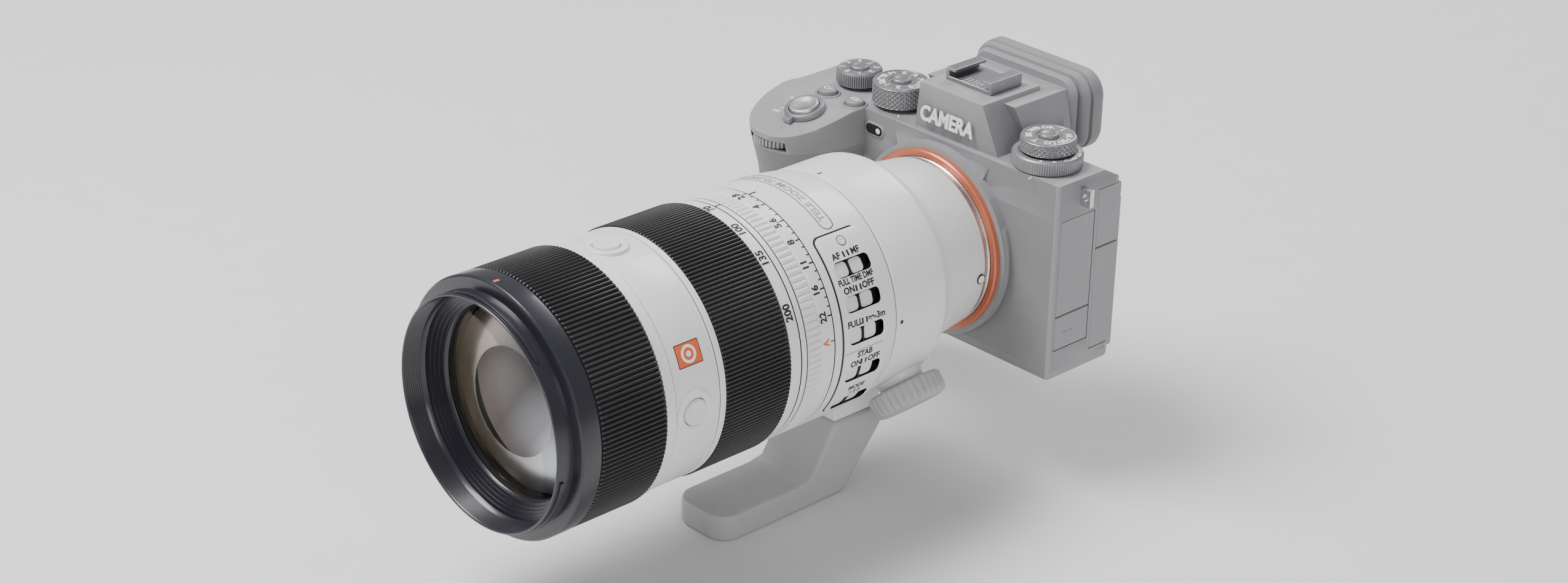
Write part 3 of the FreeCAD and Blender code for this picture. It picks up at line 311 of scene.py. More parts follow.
def softened(corners, size):
    """The outline (radius, height) with each corner off the axis made a small round of three points."""
    points = []
    count = len(corners)
    for n, corner in enumerate(corners):
        here = Vector(corner)
        if here.x < 1e-6 or size == 0:
            points.append(corner)
            continue
        before = Vector(corners[n - 1]) - here
        after = Vector(corners[(n + 1) % count]) - here
        reach = min(size, before.length * 0.45, after.length * 0.45)
        start = here + before.normalized() * reach
        end = here + after.normalized() * reach
        for share in (0.0, 0.5, 1.0):
            near = start.lerp(here, share).lerp(here.lerp(end, share), share)
            points.append((near.x, near.y))
    return points


def lathe(name, corners, material, body, slot, base=(0, 0, 0), turn=Matrix.Identity(3), steps=96, soft=0.15,
          wave=None, sharp=35.0):
    """A closed outline of (radius, height) corners spun about the local Z axis, which turn and base place.
    wave(step, height, radius) may change a point's radius, for ribs and knurls."""
    points = softened(corners, soft)
    verts = []
    for step in range(steps):
        angle = math.tau * step / steps
        for radius, height in points:
            r = wave(step, height, radius) if wave else radius
            verts.append(turn @ Vector((r * math.cos(angle), r * math.sin(angle), height)) + Vector(base))
    count = len(points)
    faces = []
    for step in range(steps):
        after = (step + 1) % steps * count
        for n in range(count):
            m = (n + 1) % count
            if points[n][0] < 1e-6 and points[m][0] < 1e-6:
                continue
            faces.append((step * count + n, step * count + m, after + m, after + n))
    return add(name, verts, faces, material, body, sharp)


LENS_TURN = Matrix(((0, 1, 0), (0, 0, 1), (1, 0, 0)))  # local Z along the lens axis, angle 0 at the top


def ring(name, corners, material, body, slot, steps=256, soft=0.2, wave=None):
    """A closed outline of (y, radius) corners spun about the lens axis."""
    flipped = [(radius, y) for y, radius in corners]
    return lathe(name, flipped, material, body, slot, turn=LENS_TURN, steps=steps, soft=soft, wave=wave)


def radial_turn(angle):
    """Turns +Z to the radial direction at an angle from the top towards the port side."""
    return Matrix.Rotation(math.radians(angle), 3, "Y")


def on_barrel(angle, y, radius):
    a = math.radians(angle)
    return radius * math.sin(a), y, radius * math.cos(a)


def ribs(per_rib, outer, depth, shape):
    """A wave that cuts grooves between ribs; shape lists the rib's height over one pitch, from 0 to 1."""
    def wave(step, height, radius):
        rise = shape[step % per_rib]
        return min(radius, outer - depth * (1 - rise)) if radius > outer - depth * 1.2 else radius
    return wave


def diamonds(steps, around, outer, depth, pitch):
    """A wave that raises a diamond knurl."""
    def triangle(value):
        return abs(2 * (value - math.floor(value + 0.5)))

    def wave(step, height, radius):
        if radius < outer - 0.05:
            return radius
        turn = around * step / steps
        return outer - depth * max(triangle(turn + height / pitch), triangle(turn - height / pitch))
    return wave


def curved_slab(name, angles, ys, radii, material, body, corner=0.0, bevel=0.0, columns=64):
    """A plate that follows the barrel between two angles, two stations and two radii, with round corners."""
    (a0, a1), (y0, y1), (r0, r1) = angles, ys, radii
    length = math.radians(a1 - a0) * r1
    places = []
    for n in range(columns + 1):
        share = 0.5 - 0.5 * math.cos(math.pi * n / columns)
        places.append(share * length)
    verts = []
    for u in places:
        inset = max(0.0, corner - min(u, length - u))
        cut = corner - math.sqrt(max(0.0, corner * corner - inset * inset))
        angle = a0 + (a1 - a0) * u / length
        for r, y in ((r0, y0 + cut), (r0, y1 - cut), (r1, y1 - cut), (r1, y0 + cut)):
            verts.append(on_barrel(angle, y, r))
    faces = [(0, 1, 2, 3), tuple(4 * columns + n for n in (3, 2, 1, 0))]
    for n in range(columns):
        a = 4 * n
        for side in range(4):
            after = (side + 1) % 4
            faces.append((a + side, a + after, a + 4 + after, a + 4 + side))
    item = add(name, verts, faces, material, body)
    if bevel:
        soften(item, bevel)
    return item


def stadium(name, angle, ys, half, radii, material, body, bevel=0.0, round_=None, segments=8):
    """A block with rounded corners in a slot of the barrel, long in Y and standing out radially."""
    y0, y1 = ys
    r = half if round_ is None else round_
    flat = []
    for cx, cy, first in ((half - r, y1 - r, 0), (-half + r, y1 - r, 90), (-half + r, y0 + r, 180),
                          (half - r, y0 + r, 270)):
        for n in range(segments + 1):
            a = math.radians(first + 90 * n / segments)
            flat.append((cx + r * math.cos(a), cy + r * math.sin(a)))
    turn = radial_turn(angle)
    verts = [turn @ Vector((x, y, radius)) for radius in radii for x, y in flat]
    count = len(flat)
    faces = [tuple(range(count)), tuple(range(2 * count - 1, count - 1, -1))]
    for n in range(count):
        m = (n + 1) % count
        faces.append((n, m, count + m, count + n))
    item = add(name, verts, faces, material, body)
    if bevel:
        soften(item, bevel)
    return item


def skin(node, material, size=0.3, steps=2, least=1.0, allowed=None, sharp=32.0):
    """A copy of a CAD node with its convex edges rounded, which stands for the node."""
    source = NODES[node]
    work = bmesh.new()
    work.from_mesh(source.data)
    bmesh.ops.remove_doubles(work, verts=work.verts, dist=2e-6)
    bmesh.ops.dissolve_limit(work, angle_limit=math.radians(0.4), verts=work.verts, edges=work.edges,
                             use_dissolve_boundaries=False)
    chosen = []
    for edge in work.edges:
        if len(edge.link_faces) != 2 or not edge.is_convex or edge.calc_length() < least * MM:
            continue
        if math.degrees(edge.calc_face_angle(0)) < sharp:
            continue
        centre = ((edge.verts[0].co + edge.verts[1].co) / 2 - SHIFT) / MM
        if allowed is None or allowed(centre):
            chosen.append(edge)
    if chosen and size:
        bmesh.ops.bevel(work, geom=chosen, offset=size * MM, segments=steps, profile=0.5, affect="EDGES",
                        clamp_overlap=True)
    bmesh.ops.recalc_face_normals(work, faces=work.faces)
    mesh = bpy.data.meshes.new(node + "_skin")
    work.to_mesh(mesh)
    work.free()
    mesh.shade_smooth()
    mesh.set_sharp_from_angle(angle=math.radians(sharp))
    mesh.materials.append(material)
    item = bpy.data.objects.new(node + "_skin", mesh)
    bpy.context.scene.collection.objects.link(item)
    even = item.modifiers.new("Normals", "WEIGHTED_NORMAL")
    even.keep_sharp = True
    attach(item, source["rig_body"])
    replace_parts(item, node)
    return item


def block(name, x, y, z, material, body, soft=0.3, steps=3):
    """A box with rounded edges."""
    verts = [(a, b, c) for a in x for b in y for c in z]
    faces = [(0, 1, 3, 2), (4, 6, 7, 5), (0, 4, 5, 1), (2, 3, 7, 6), (0, 2, 6, 4), (1, 5, 7, 3)]
    item = add(name, verts, faces, material, body)
    soften(item, soft, steps)
    return item


def soften(item, size, steps=3, angle=30.0):
    """Round an object's sharp edges with a bevel."""
    bevel = item.modifiers.new("Bevel", "BEVEL")
    bevel.width = size * MM
    bevel.segments = steps
    bevel.limit_method = "ANGLE"
    bevel.angle_limit = math.radians(angle)
    bevel.harden_normals = False
    return item


def bake(item):
    """Apply an object's modifiers to its mesh."""
    graph = bpy.context.evaluated_depsgraph_get()
    mesh = bpy.data.meshes.new_from_object(item.evaluated_get(graph))
    item.modifiers.clear()
    item.data = mesh
    return item


def text_mesh(words, size, depth=0.04, bold=0.032):
    """Flat lettering, centred, as vertices in millimetres and faces."""
    curve = bpy.data.curves.new("text", "FONT")
    curve.body = words
    curve.size = size
    curve.align_x = "CENTER"
    curve.align_y = "CENTER"
    curve.resolution_u = 3
    curve.extrude = depth
    curve.offset = bold * size
    item = bpy.data.objects.new("text", curve)
    bpy.context.scene.collection.objects.link(item)
    bpy.context.view_layer.update()
    mesh = bpy.data.meshes.new_from_object(item.evaluated_get(bpy.context.evaluated_depsgraph_get()))
    verts = [tuple(v.co) for v in mesh.vertices]
    faces = [tuple(p.vertices) for p in mesh.polygons]
    bpy.data.objects.remove(item)
    bpy.data.curves.remove(curve)
    return verts, faces


def wrapped(name, parts, radius, material, body):
    """Join pieces of lettering or marks on the lens. Each has flat verts and faces, a centre (angle, y) and
    the way it is read: 'round' reads towards the top, 'along' reads towards the camera."""
    verts = []
    faces = []
    for (flat, polygons), angle, y, way in parts:
        start = len(verts)
        for u, v, w in flat:
            if way == "round":
                turn = math.radians(angle) - u / radius
                along = y - v
            else:
                turn = math.radians(angle) - v / radius
                along = y + u
            r = radius + w
            verts.append((r * math.sin(turn), along, r * math.cos(turn)))
        faces.extend(tuple(start + n for n in polygon) for polygon in polygons)
    return add(name, verts, faces, material, body)


def bar(width, height, depth=0.04, cells=1):
    """A flat bar as verts and faces, cut into cells across its width so that it can bend."""
    verts = []
    for n in range(cells + 1):
        x = width * (n / cells - 0.5)
        verts += [(x, -height / 2, -depth), (x, height / 2, -depth), (x, height / 2, depth),
                  (x, -height / 2, depth)]
    faces = [(0, 1, 2, 3), tuple(4 * cells + n for n in (3, 2, 1, 0))]
    for n in range(cells):
        a = 4 * n
        for side in range(4):
            after = (side + 1) % 4
            faces.append((a + side, a + after, a + 4 + after, a + 4 + side))
    return verts, faces


def flat_marks(name, parts, origin, right, up, material, body):
    """Lettering and marks on a flat face; each part is (verts, faces), x, y and a turn in degrees."""
    right, up = Vector(right).normalized(), Vector(up).normalized()
    out = right.cross(up)
    verts = []
    faces = []
    for (flat, polygons), x, y, turn in parts:
        start = len(verts)
        c, s = math.cos(math.radians(turn)), math.sin(math.radians(turn))
        for u, v, w in flat:
            spot = Vector(origin) + right * (x + c * u - s * v) + up * (y + s * u + c * v) + out * w
            verts.append(spot)
        faces.extend(tuple(start + n for n in polygon) for polygon in polygons)
    return add(name, verts, faces, material, body)


def lettering(words, size, width=None, depth=0.04):
    """text_mesh, squeezed to a width where one is given."""
    verts, faces = text_mesh(words, size, depth)
    if width:
        across = max(v[0] for v in verts) - min(v[0] for v in verts)
        verts = [(v[0] * width / across, v[1], v[2]) for v in verts]
    return verts, faces


# ---- stations and radii of the lens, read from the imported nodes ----

FRONT, HOOD_BACK = span("front_ring", 1)
FOCUS = span("focus_ring", 1)
FOCUS_GRIP = span("focus_grip", 1)
ZOOM = span("zoom_ring", 1)
ZOOM_GRIP = span("zoom_grip", 1)
APERTURE = span("aperture_ring", 1)
COLLAR = span("tripod_collar", 1)
BAYONET_SEAT = span("lens_barrel", 1)[1]
BAND = -span("lens_barrel", 2)[0]
HOOD = radius_of("front_ring")
COLLAR_RADIUS = span("tripod_collar", 0)[1]
GAP = 0.3
CORE = 39.5          # the tube under the rings
BORE = 31.5          # the dark tube behind the front glass
HOLD_Y = middle("focus_hold_top", 1) / MM - SHIFT.y / MM
HOLD_TOP = span("focus_hold_top", 2)[1]
HOLDS = {"focus_hold_top": 0, "focus_hold_right": 90, "focus_hold_left": -90}
SWITCH_ANGLES = {"af_mf_switch": 54.8, "dmf_switch": 70.7, "range_switch": 85.7, "stabiliser_switch": 105.6,
                 "mode_switch": 124.9}
SLOT_Y = (-79.0, -63.6)
SLOT_HALF = 2.8
SLOT_FLOOR = 39.45
HOLD_FLOOR = 38.4
INK = BAND + 0.02    # marks stand this far out on the lens
TOP = 37.0           # the top plate
GRIP_SLOPE = 7.0 / 25.5
RIB_FLOOR = 41.6
SCREW_PLACE = {"base": (0, -71, 0), "turn": radial_turn(42.6)}
BADGE_PLACE = {"base": (0, -146.1, 0), "turn": radial_turn(64.3)}

# ---- lens: fixed barrel ----

barrel = ring("lens_shell", [
    (HOOD_BACK, 33.0), (HOOD_BACK, CORE), (FOCUS[1] + GAP, CORE), (FOCUS[1] + GAP, BAND - 0.1),
    (FOCUS[1] + GAP + 0.5, BAND), (-137.4, BAND), (-137.3, BAND - 0.3), (-137.0, BAND - 0.3), (-136.9, BAND),
    (ZOOM[0] - GAP, BAND), (ZOOM[0] - GAP, CORE), (ZOOM[1] + GAP, CORE), (ZOOM[1] + GAP, BAND - 0.1),
    (ZOOM[1] + GAP + 0.4, BAND), (APERTURE[0] - GAP - 0.4, BAND), (APERTURE[0] - GAP, BAND - 0.2),
    (APERTURE[0] - GAP, CORE), (APERTURE[1] + GAP, CORE), (APERTURE[1] + GAP, BAND), (-69, BAND),
    (-64, BAND - 0.35), (-60, BAND - 0.9), (COLLAR[0] - GAP - 0.4, COLLAR_RADIUS + 0.05),
    (COLLAR[0] - GAP, COLLAR_RADIUS - 0.3), (COLLAR[0] - GAP, 36.6), (COLLAR[1] + GAP, 36.6),
    (COLLAR[1] + GAP, 35.2), (-22, 34.0), (-14, 32.7), (-7, 31.8), (BAYONET_SEAT - 0.3, 31.3),
    (BAYONET_SEAT, 31.0), (BAYONET_SEAT, 20.5), (COLLAR[1] - 8, 20.5), (COLLAR[1] - 12, BORE), (-182, BORE),
    (-182, 33.0),
], M["white"], "lens", "lens_white", steps=360)
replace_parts(barrel, "lens_barrel")

panel = curved_slab("switch_panel", (38, 129.4), (-81.5, -61.5), (BAND - 1.6, BAND + 0.35), M["white"],
                    "lens", corner=2.6, bevel=0.55, columns=96)
shadow = curved_slab("panel_shadow", (37.0, 129.9), (-82.25, -62.0), (BAND - 1.0, BAND + 0.03), M["groove"],
                     "lens", corner=3.1, columns=96)
cutters = []
for name, angle in SWITCH_ANGLES.items():
    cutters.append(stadium("cutter", angle, SLOT_Y, SLOT_HALF, (SLOT_FLOOR, 46), M["groove"], "lens",
                           round_=1.7))
for name, angle in HOLDS.items():
    cutters.append(lathe("cutter", [(0, HOLD_FLOOR), (4.75, HOLD_FLOOR), (4.75, 46), (0, 46)], M["groove"],
                         "lens", "lens_white", base=(0, HOLD_Y, 0), turn=radial_turn(angle), soft=0,
                         steps=64))
for part in (barrel, panel, shadow):
    bpy.context.view_layer.update()
    bake(part)
    for cutter in cutters:
        change = part.modifiers.new("Cut", "BOOLEAN")
        change.operation = "DIFFERENCE"
        change.solver = "EXACT"
        change.material_mode = "TRANSFER"
        change.object = cutter
    bpy.context.view_layer.update()
    bake(part)
    part.data.shade_smooth()
    part.data.set_sharp_from_angle(angle=math.radians(30))
for cutter in cutters:
    bpy.data.objects.remove(cutter)
barrel.data.materials.append(M["matt"])
for face in barrel.data.polygons:
    centre = (face.center - SHIFT) / MM
    if math.hypot(centre.x, centre.z) < 36 and centre.y < -30:
        face.material_index = len(barrel.data.materials) - 1

# Painted shade: near-black rings fill the gaps between the rings, where the white tube inside lies in shade.
for number, (start, end) in enumerate(((FOCUS[1], FOCUS[1] + GAP), (ZOOM[0] - GAP, ZOOM[0]),
                                       (ZOOM[1], ZOOM[1] + GAP), (APERTURE[0] - GAP, APERTURE[0]),
                                       (APERTURE[1], APERTURE[1] + GAP), (COLLAR[0] - GAP, COLLAR[0]),
                                       (COLLAR[1], COLLAR[1] + GAP))):
    outer = 36.4 if end > COLLAR[1] else (COLLAR_RADIUS - 0.4 if end > -60 else BAND - 0.15)
    inner = 35.0 if end > COLLAR[1] else (36.4 if end > -60 else CORE - 0.2)
    ring("gap_shadow_ring_%d" % number, [(start + 0.04, inner), (start + 0.04, outer), (end - 0.04, outer),
                                  (end - 0.04, inner)], M["groove"], "lens", "front_black", soft=0)

for name, angle in HOLDS.items():
    side = name.split("_")[-1]
    lathe("hold_rim_" + side, [(4.72, 41.0), (7.4, 41.0), (7.4, BAND + 0.1), (6.9, BAND + 0.62),
                               (5.6, BAND + 0.7), (4.72, BAND + 0.25)], M["white"], "lens", "lens_white",
          base=(0, HOLD_Y, 0), turn=radial_turn(angle), soft=0.3)
    cap = lathe(name + "_cap", [(0, HOLD_FLOOR), (4.5, HOLD_FLOOR), (4.5, HOLD_TOP - 0.5),
                                (4.1, HOLD_TOP - 0.1), (3.2, HOLD_TOP), (2.6, HOLD_TOP - 0.12),
                                (0, HOLD_TOP - 0.2)], M["whitebutton"], name, "button_white",
                base=(0, HOLD_Y, 0), turn=radial_turn(angle), soft=0.2)
    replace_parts(cap, name)

for name, angle in SWITCH_ANGLES.items():
    start = SLOT_Y[0] + 0.2
    end = SLOT_Y[1] - 2.8
    centre = (start + end) / 2
    bottom = stadium(name + "_base", angle, (start, end), SLOT_HALF - 0.2, (39.7, 41.2), M["ink"], name,
                     round_=1.55)
    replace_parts(bottom, name)
    stadium(name + "_front", angle, (start + 0.1, centre - 0.45), SLOT_HALF - 0.25, (41.0, 42.25),
            M["whitebutton"], name, bevel=0.2, round_=1.5)
    stadium(name + "_rear", angle, (centre + 0.45, end - 0.1), SLOT_HALF - 0.25, (41.0, 42.25),
            M["whitebutton"], name, bevel=0.2, round_=1.5)
    stadium(name + "_ridge", angle, (centre - 0.28, centre + 0.28), SLOT_HALF - 0.3, (41.0, 42.7),
                         M["ink"], name, round_=0.2)

lathe("panel_screw", [(0, BAND - 0.4), (1.55, BAND - 0.4), (1.55, BAND + 0.42), (1.3, BAND + 0.47),
                      (0.55, BAND + 0.47), (0.45, BAND + 0.2), (0, BAND + 0.2)], M["whitebutton"], "lens",
      "lens_white", **SCREW_PLACE, soft=0.05)
lathe("panel_screw_slot", [(0, BAND + 0.1), (0.42, BAND + 0.1), (0.42, BAND + 0.3), (0, BAND + 0.3)],
      M["ink"], "lens", "front_black", **SCREW_PLACE, soft=0, steps=6)
lathe("panel_screw_groove", [(1.6, BAND), (1.85, BAND), (1.85, BAND + 0.385), (1.6, BAND + 0.385)],
      M["groove"], "lens", "front_black", **SCREW_PLACE, soft=0)

badge_angles = (59.5, 69.1)
curved_slab("badge_edge", (badge_angles[0] - 0.4, badge_angles[1] + 0.4), (-151.1, -141.1),
            (BAND - 1, BAND + 0.02), M["groove"], "lens", corner=0.3, columns=16)
curved_slab("badge", badge_angles, (-150.8, -141.4), (BAND - 1, BAND + 0.06), M["ember"], "lens",
            corner=0.2, columns=16)
lathe("badge_ring", [(2.0, BAND - 0.6), (3.0, BAND - 0.6), (3.0, BAND + 0.1), (2.0, BAND + 0.1)], M["paint"],
      "lens", "lens_white", **BADGE_PLACE, soft=0.05)
lathe("badge_dot", [(0, BAND - 0.6), (1.0, BAND - 0.6), (1.0, BAND + 0.12), (0, BAND + 0.12)], M["paint"],
      "lens", "lens_white", **BADGE_PLACE, soft=0.05)

# ---- lens: marks on the fixed barrel and the rings ----

panel_words = [
    ("AF", 3.1, None, 48.7, -76.3), ("MF", 3.1, None, 48.7, -67.7), ("FULL TIME DMF", 2.9, 15.6, 60.5, -71.9),
    ("ON", 3.1, None, 64.5, -76.1), ("OFF", 3.1, None, 64.5, -67.5), ("FULL", 3.1, None, 79.6, -76.4),
    ("∞-3m", 3.1, None, 79.6, -66.4), ("STAB", 3.0, None, 95.4, -71.8), ("ON", 3.1, None, 99.6, -75.5),
    ("OFF", 3.1, None, 99.6, -67.3), ("MODE", 2.6, None, 114.9, -71.6), ("1 2 3", 2.4, None, 118.4, -71.4),
]
marks = [(lettering(words, size, width), angle, y, "along") for words, size, width, angle, y in panel_words]
for angle in (48.7, 64.6, 79.6, 99.6):
    marks += [(bar(0.75, 2.0), angle, y, "along") for y in (-72.9, -71.0)]
wrapped("panel_marks", marks, BAND + 0.37, M["ink"], "lens")
wrapped("panel_lines", [(bar(17.5, 0.16), 93.0, -72.4, "along")], BAND + 0.35, M["groove"], "lens")


def loop_marks(width, height, line, cells=40):
    """The outline of a pill as bars and arcs, wide along the first axis."""
    parts = []
    half, r = width / 2, height / 2
    points = []
    for n in range(cells + 1):
        points.append((-half + r + (width - height) * n / cells, r))
    for n in range(1, 16):
        a = math.pi / 2 - math.pi * n / 16
        points.append((half - r + r * math.cos(a), r * math.sin(a)))
    for n in range(cells + 1):
        points.append((half - r - (width - height) * n / cells, -r))
    for n in range(1, 16):
        a = -math.pi / 2 - math.pi * n / 16
        points.append((-half + r + r * math.cos(a), r * math.sin(a)))
    verts = []
    count = len(points)
    for n, (x, y) in enumerate(points):
        before, after = Vector(points[n - 1]), Vector(points[(n + 1) % count])
        along = (after - before).normalized()
        side = Vector((-along.y, along.x)) * line / 2
        for sign, w in ((1, -0.04), (1, 0.04), (-1, 0.04), (-1, -0.04)):
            verts.append((x + sign * side.x, y + sign * side.y, w))
    faces = []
    for n in range(count):
        m = (n + 1) % count
        for k in range(4):
            after = (k + 1) % 4
            faces.append((4 * n + k, 4 * n + after, 4 * m + after, 4 * m + k))
    return verts, faces


wrapped("name_frame", [(loop_marks(52.0, 5.2, 0.3), 0.5, -72.2, "round")], INK, M["groove"], "lens")
wrapped("name_words", [(lettering("TELE ZOOM 70-200 mm", 3.6, 45.0), 0.5, -72.2, "round")], INK,
        M["button"], "lens")
wrapped("index_marks", [(bar(0.5, 2.6), 0, -99.6, "round"), (bar(0.65, 2.8), 0, -84.0, "round")], INK,
        M["ink"], "lens")

zoom_numbers = [(lettering(words, 4.0), angle, -103.2, "round") for words, angle in
                (("70", 0.0), ("100", 19.8), ("135", 37.3), ("200", 63.8))]
wrapped("zoom_numbers", zoom_numbers, INK, M["ink"], "zoom_ring")
stops = (("2.8", -1.3), ("4", 10.7), ("5.6", 23.4), ("8", 35.1), ("11", 47.0), ("16", 59.3), ("22", 71.6))
stop_marks = [(lettering(words, 3.7), angle, -89.3, "round") for words, angle in stops]
for n, (words, angle) in enumerate(stops):
    stop_marks.append((bar(0.5, 1.7), angle, -86.7, "round"))
    if n + 1 < len(stops):
        step = (stops[n + 1][1] - angle) / 3
        stop_marks += [(bar(0.42, 1.0), angle + step * k, -86.35, "round") for k in (1, 2)]
stop_marks.append((bar(0.36, 1.7), 83.4, -86.7, "round"))
wrapped("stop_numbers", stop_marks, INK, M["ink"], "aperture_ring")
wrapped("stop_auto", [(lettering("A", 3.7), 83.4, -89.3, "round")], INK, M["ember"], "aperture_ring")

# ---- lens: turning rings ----

RIB = (0.0, 0.78, 1.0, 1.0, 0.78, 0.0)
grip_radius = radius_of("focus_grip")
focus_rib_count = 164
outline = [(FOCUS_GRIP[0], RIB_FLOOR), (FOCUS_GRIP[0], grip_radius - 0.5), (FOCUS_GRIP[0] + 0.5, grip_radius),
           (FOCUS_GRIP[1] - 0.5, grip_radius), (FOCUS_GRIP[1], grip_radius - 0.5), (FOCUS_GRIP[1], RIB_FLOOR)]
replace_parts(ring("focus_grip_ribs", outline, M["rubber"], "focus_ring", "ribbed_rubber",
                 steps=6 * focus_rib_count, wave=ribs(6, grip_radius, 0.95, RIB), soft=0.15), "focus_grip")
lip = radius_of("focus_ring")
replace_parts(ring("focus_sleeve", [
    (FOCUS[0], CORE + GAP), (FOCUS[0], RIB_FLOOR), (FOCUS_GRIP[1], RIB_FLOOR), (FOCUS_GRIP[1], lip - 0.15),
    (FOCUS_GRIP[1] + 0.3, lip), (FOCUS[1] - 0.6, lip), (FOCUS[1], lip - 0.4), (FOCUS[1], CORE + GAP),
], M["white"], "focus_ring", "lens_white"), "focus_ring")

zoom_radius = radius_of("zoom_grip")
zoom_rib_count = 184
outline = [(ZOOM_GRIP[0], RIB_FLOOR), (ZOOM_GRIP[0], zoom_radius - 0.4), (ZOOM_GRIP[0] + 0.4, zoom_radius),
           (ZOOM_GRIP[1] - 0.4, zoom_radius), (ZOOM_GRIP[1], zoom_radius - 0.4), (ZOOM_GRIP[1], RIB_FLOOR)]
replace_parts(ring("zoom_grip_ribs", outline, M["rubber"], "zoom_ring", "ribbed_rubber",
                 steps=6 * zoom_rib_count, wave=ribs(6, zoom_radius, 0.8, RIB), soft=0.15), "zoom_grip")
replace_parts(ring("zoom_sleeve", [
    (ZOOM[0], CORE + GAP), (ZOOM[0], BAND - 0.35), (ZOOM[0] + 0.35, BAND), (ZOOM_GRIP[0] - 0.9, BAND),
    (ZOOM_GRIP[0] - 0.8, BAND - 0.25), (ZOOM_GRIP[0] - 0.5, BAND - 0.25), (ZOOM_GRIP[0] - 0.4, BAND),
    (ZOOM_GRIP[0], BAND), (ZOOM_GRIP[0], RIB_FLOOR), (ZOOM_GRIP[1], RIB_FLOOR), (ZOOM_GRIP[1], BAND),
    (ZOOM[1] - 0.4, BAND), (ZOOM[1], BAND - 0.3), (ZOOM[1], CORE + GAP),
], M["white"], "zoom_ring", "lens_white"), "zoom_ring")

TOOTH = (0.0, 0.7, 1.0, 1.0, 1.0, 1.0, 0.7, 0.0)
tooth_count = 116


def teeth(step, height, radius):
    """Short ribs along the front half of the aperture ring."""
    if radius < BAND - 0.75 or height > APERTURE[0] + 6.6:
        return radius
    share = TOOTH[step % 8]
    return min(radius, BAND - 0.6 * (1 - share))


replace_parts(ring("aperture_teeth", [
    (APERTURE[0], CORE + GAP), (APERTURE[0], BAND - 0.55), (APERTURE[0] + 0.4, BAND - 0.55),
    (APERTURE[0] + 0.9, BAND), (APERTURE[0] + 3.5, BAND), (APERTURE[0] + 5.8, BAND),
    (APERTURE[0] + 6.5, BAND - 0.55), (APERTURE[0] + 7.0, BAND - 0.45), (APERTURE[0] + 7.3, BAND),
    (APERTURE[1] - 0.3, BAND), (APERTURE[1], BAND - 0.3), (APERTURE[1], CORE + GAP),
], M["white"], "aperture_ring", "lens_white", steps=8 * tooth_count, wave=teeth, soft=0.12), "aperture_ring")

# ---- lens: front ring and glass ----

rim = []
y = FRONT + 0.5
while y < -193.0:
    rim += [(y, 38.5), (y + 0.375, 38.95)]
    y += 0.75
rim.reverse()
steps_inside = []
for n in range(5):
    r = 33.2 + n * 0.95
    y = -187.6 - n * 1.0
    steps_inside += [(y, r), (y, r + 0.95)]
front = ring("front_shell", [(FRONT, 38.9), (FRONT, 39.4), (FRONT + 0.3, 39.6), (-193.7, 39.6),
                             (-193.7, HOOD - 0.6), (-193.1, HOOD), (-186.4, HOOD), (HOOD_BACK, HOOD - 0.5),
                             (HOOD_BACK, 33.0), (-186.6, 32.35)] + steps_inside + rim, M["black"], "lens",
             "front_black", steps=256, soft=0.05)
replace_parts(front, "front_ring")
for number, (a0, a1) in enumerate(((-18, 44), (102, 164), (222, 284))):
    curved_slab("hood_lug_%d" % number, (a0, a1), (-198.6, -197.2), (39.3, 40.3), M["black"], "lens",
                corner=0.5, bevel=0.2, columns=32)
curved_slab("hood_mark", (-0.8, 0.8), (-192.4, -190.2), (HOOD - 0.3, HOOD + 0.02), M["ember"], "lens",
            corner=0.2, columns=8)


def dome(name, edge, radius, curve, thick, material, body, slot, replaced=None, rings=24, steps=192):
    """A lens with a bulging front: a rounded cap of a sphere, and a flatter back."""
    front_points = []
    for n in range(rings + 1):
        r = radius * n / rings
        front_points.append((edge - (math.sqrt(curve ** 2 - r ** 2) - math.sqrt(curve ** 2 - radius ** 2)),
                             r))
    outline = [(edge + thick, 0.0)] + front_points + [(edge + thick, radius)]
    item = ring(name, outline, material, body, slot, steps=steps, soft=0)
    if replaced:
        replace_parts(item, replaced)
    return item


glass_radius = radius_of("front_element")
glass_back = span("front_element", 1)[1]
dome("front_dome", glass_back - 2.2, glass_radius - 0.05, 90.0, 2.1, M["glass"], "lens", "coated_glass",
     "front_element")
group = span("zoom_group", 1)
dome("zoom_group_glass", group[0] + 6, 25.9, 60.0, 8.0, M["inner"], "zoom_group", "glass", "zoom_group")
ring("zoom_group_cell", [(group[0], 28.0), (group[0], 30.4), (group[1], 30.4), (group[1], 26.0),
                         (group[0] + 3, 26.0)], M["matt"], "zoom_group", "front_black", steps=96)
tube = []
y = -180.0
while y < -116:
    tube += [(y, 31.4), (y + 1.2, 30.7)]
    y += 1.6
ring("inner_baffles", [(-181.8, 31.45)] + [(-115, 31.45)] + [(yy, rr - 0.05) for yy, rr in reversed(tube)],
     M["matt"], "lens", "front_black", steps=96, soft=0)
# The second element carries the painted reflection colours: a bright band and a peach highlight.
dome("second_glass", -176.5, 30.4, 60.0, 3.0, M["painted_reflection"], "lens", "coated_glass")

# ---- tripod collar, knob and foot ----

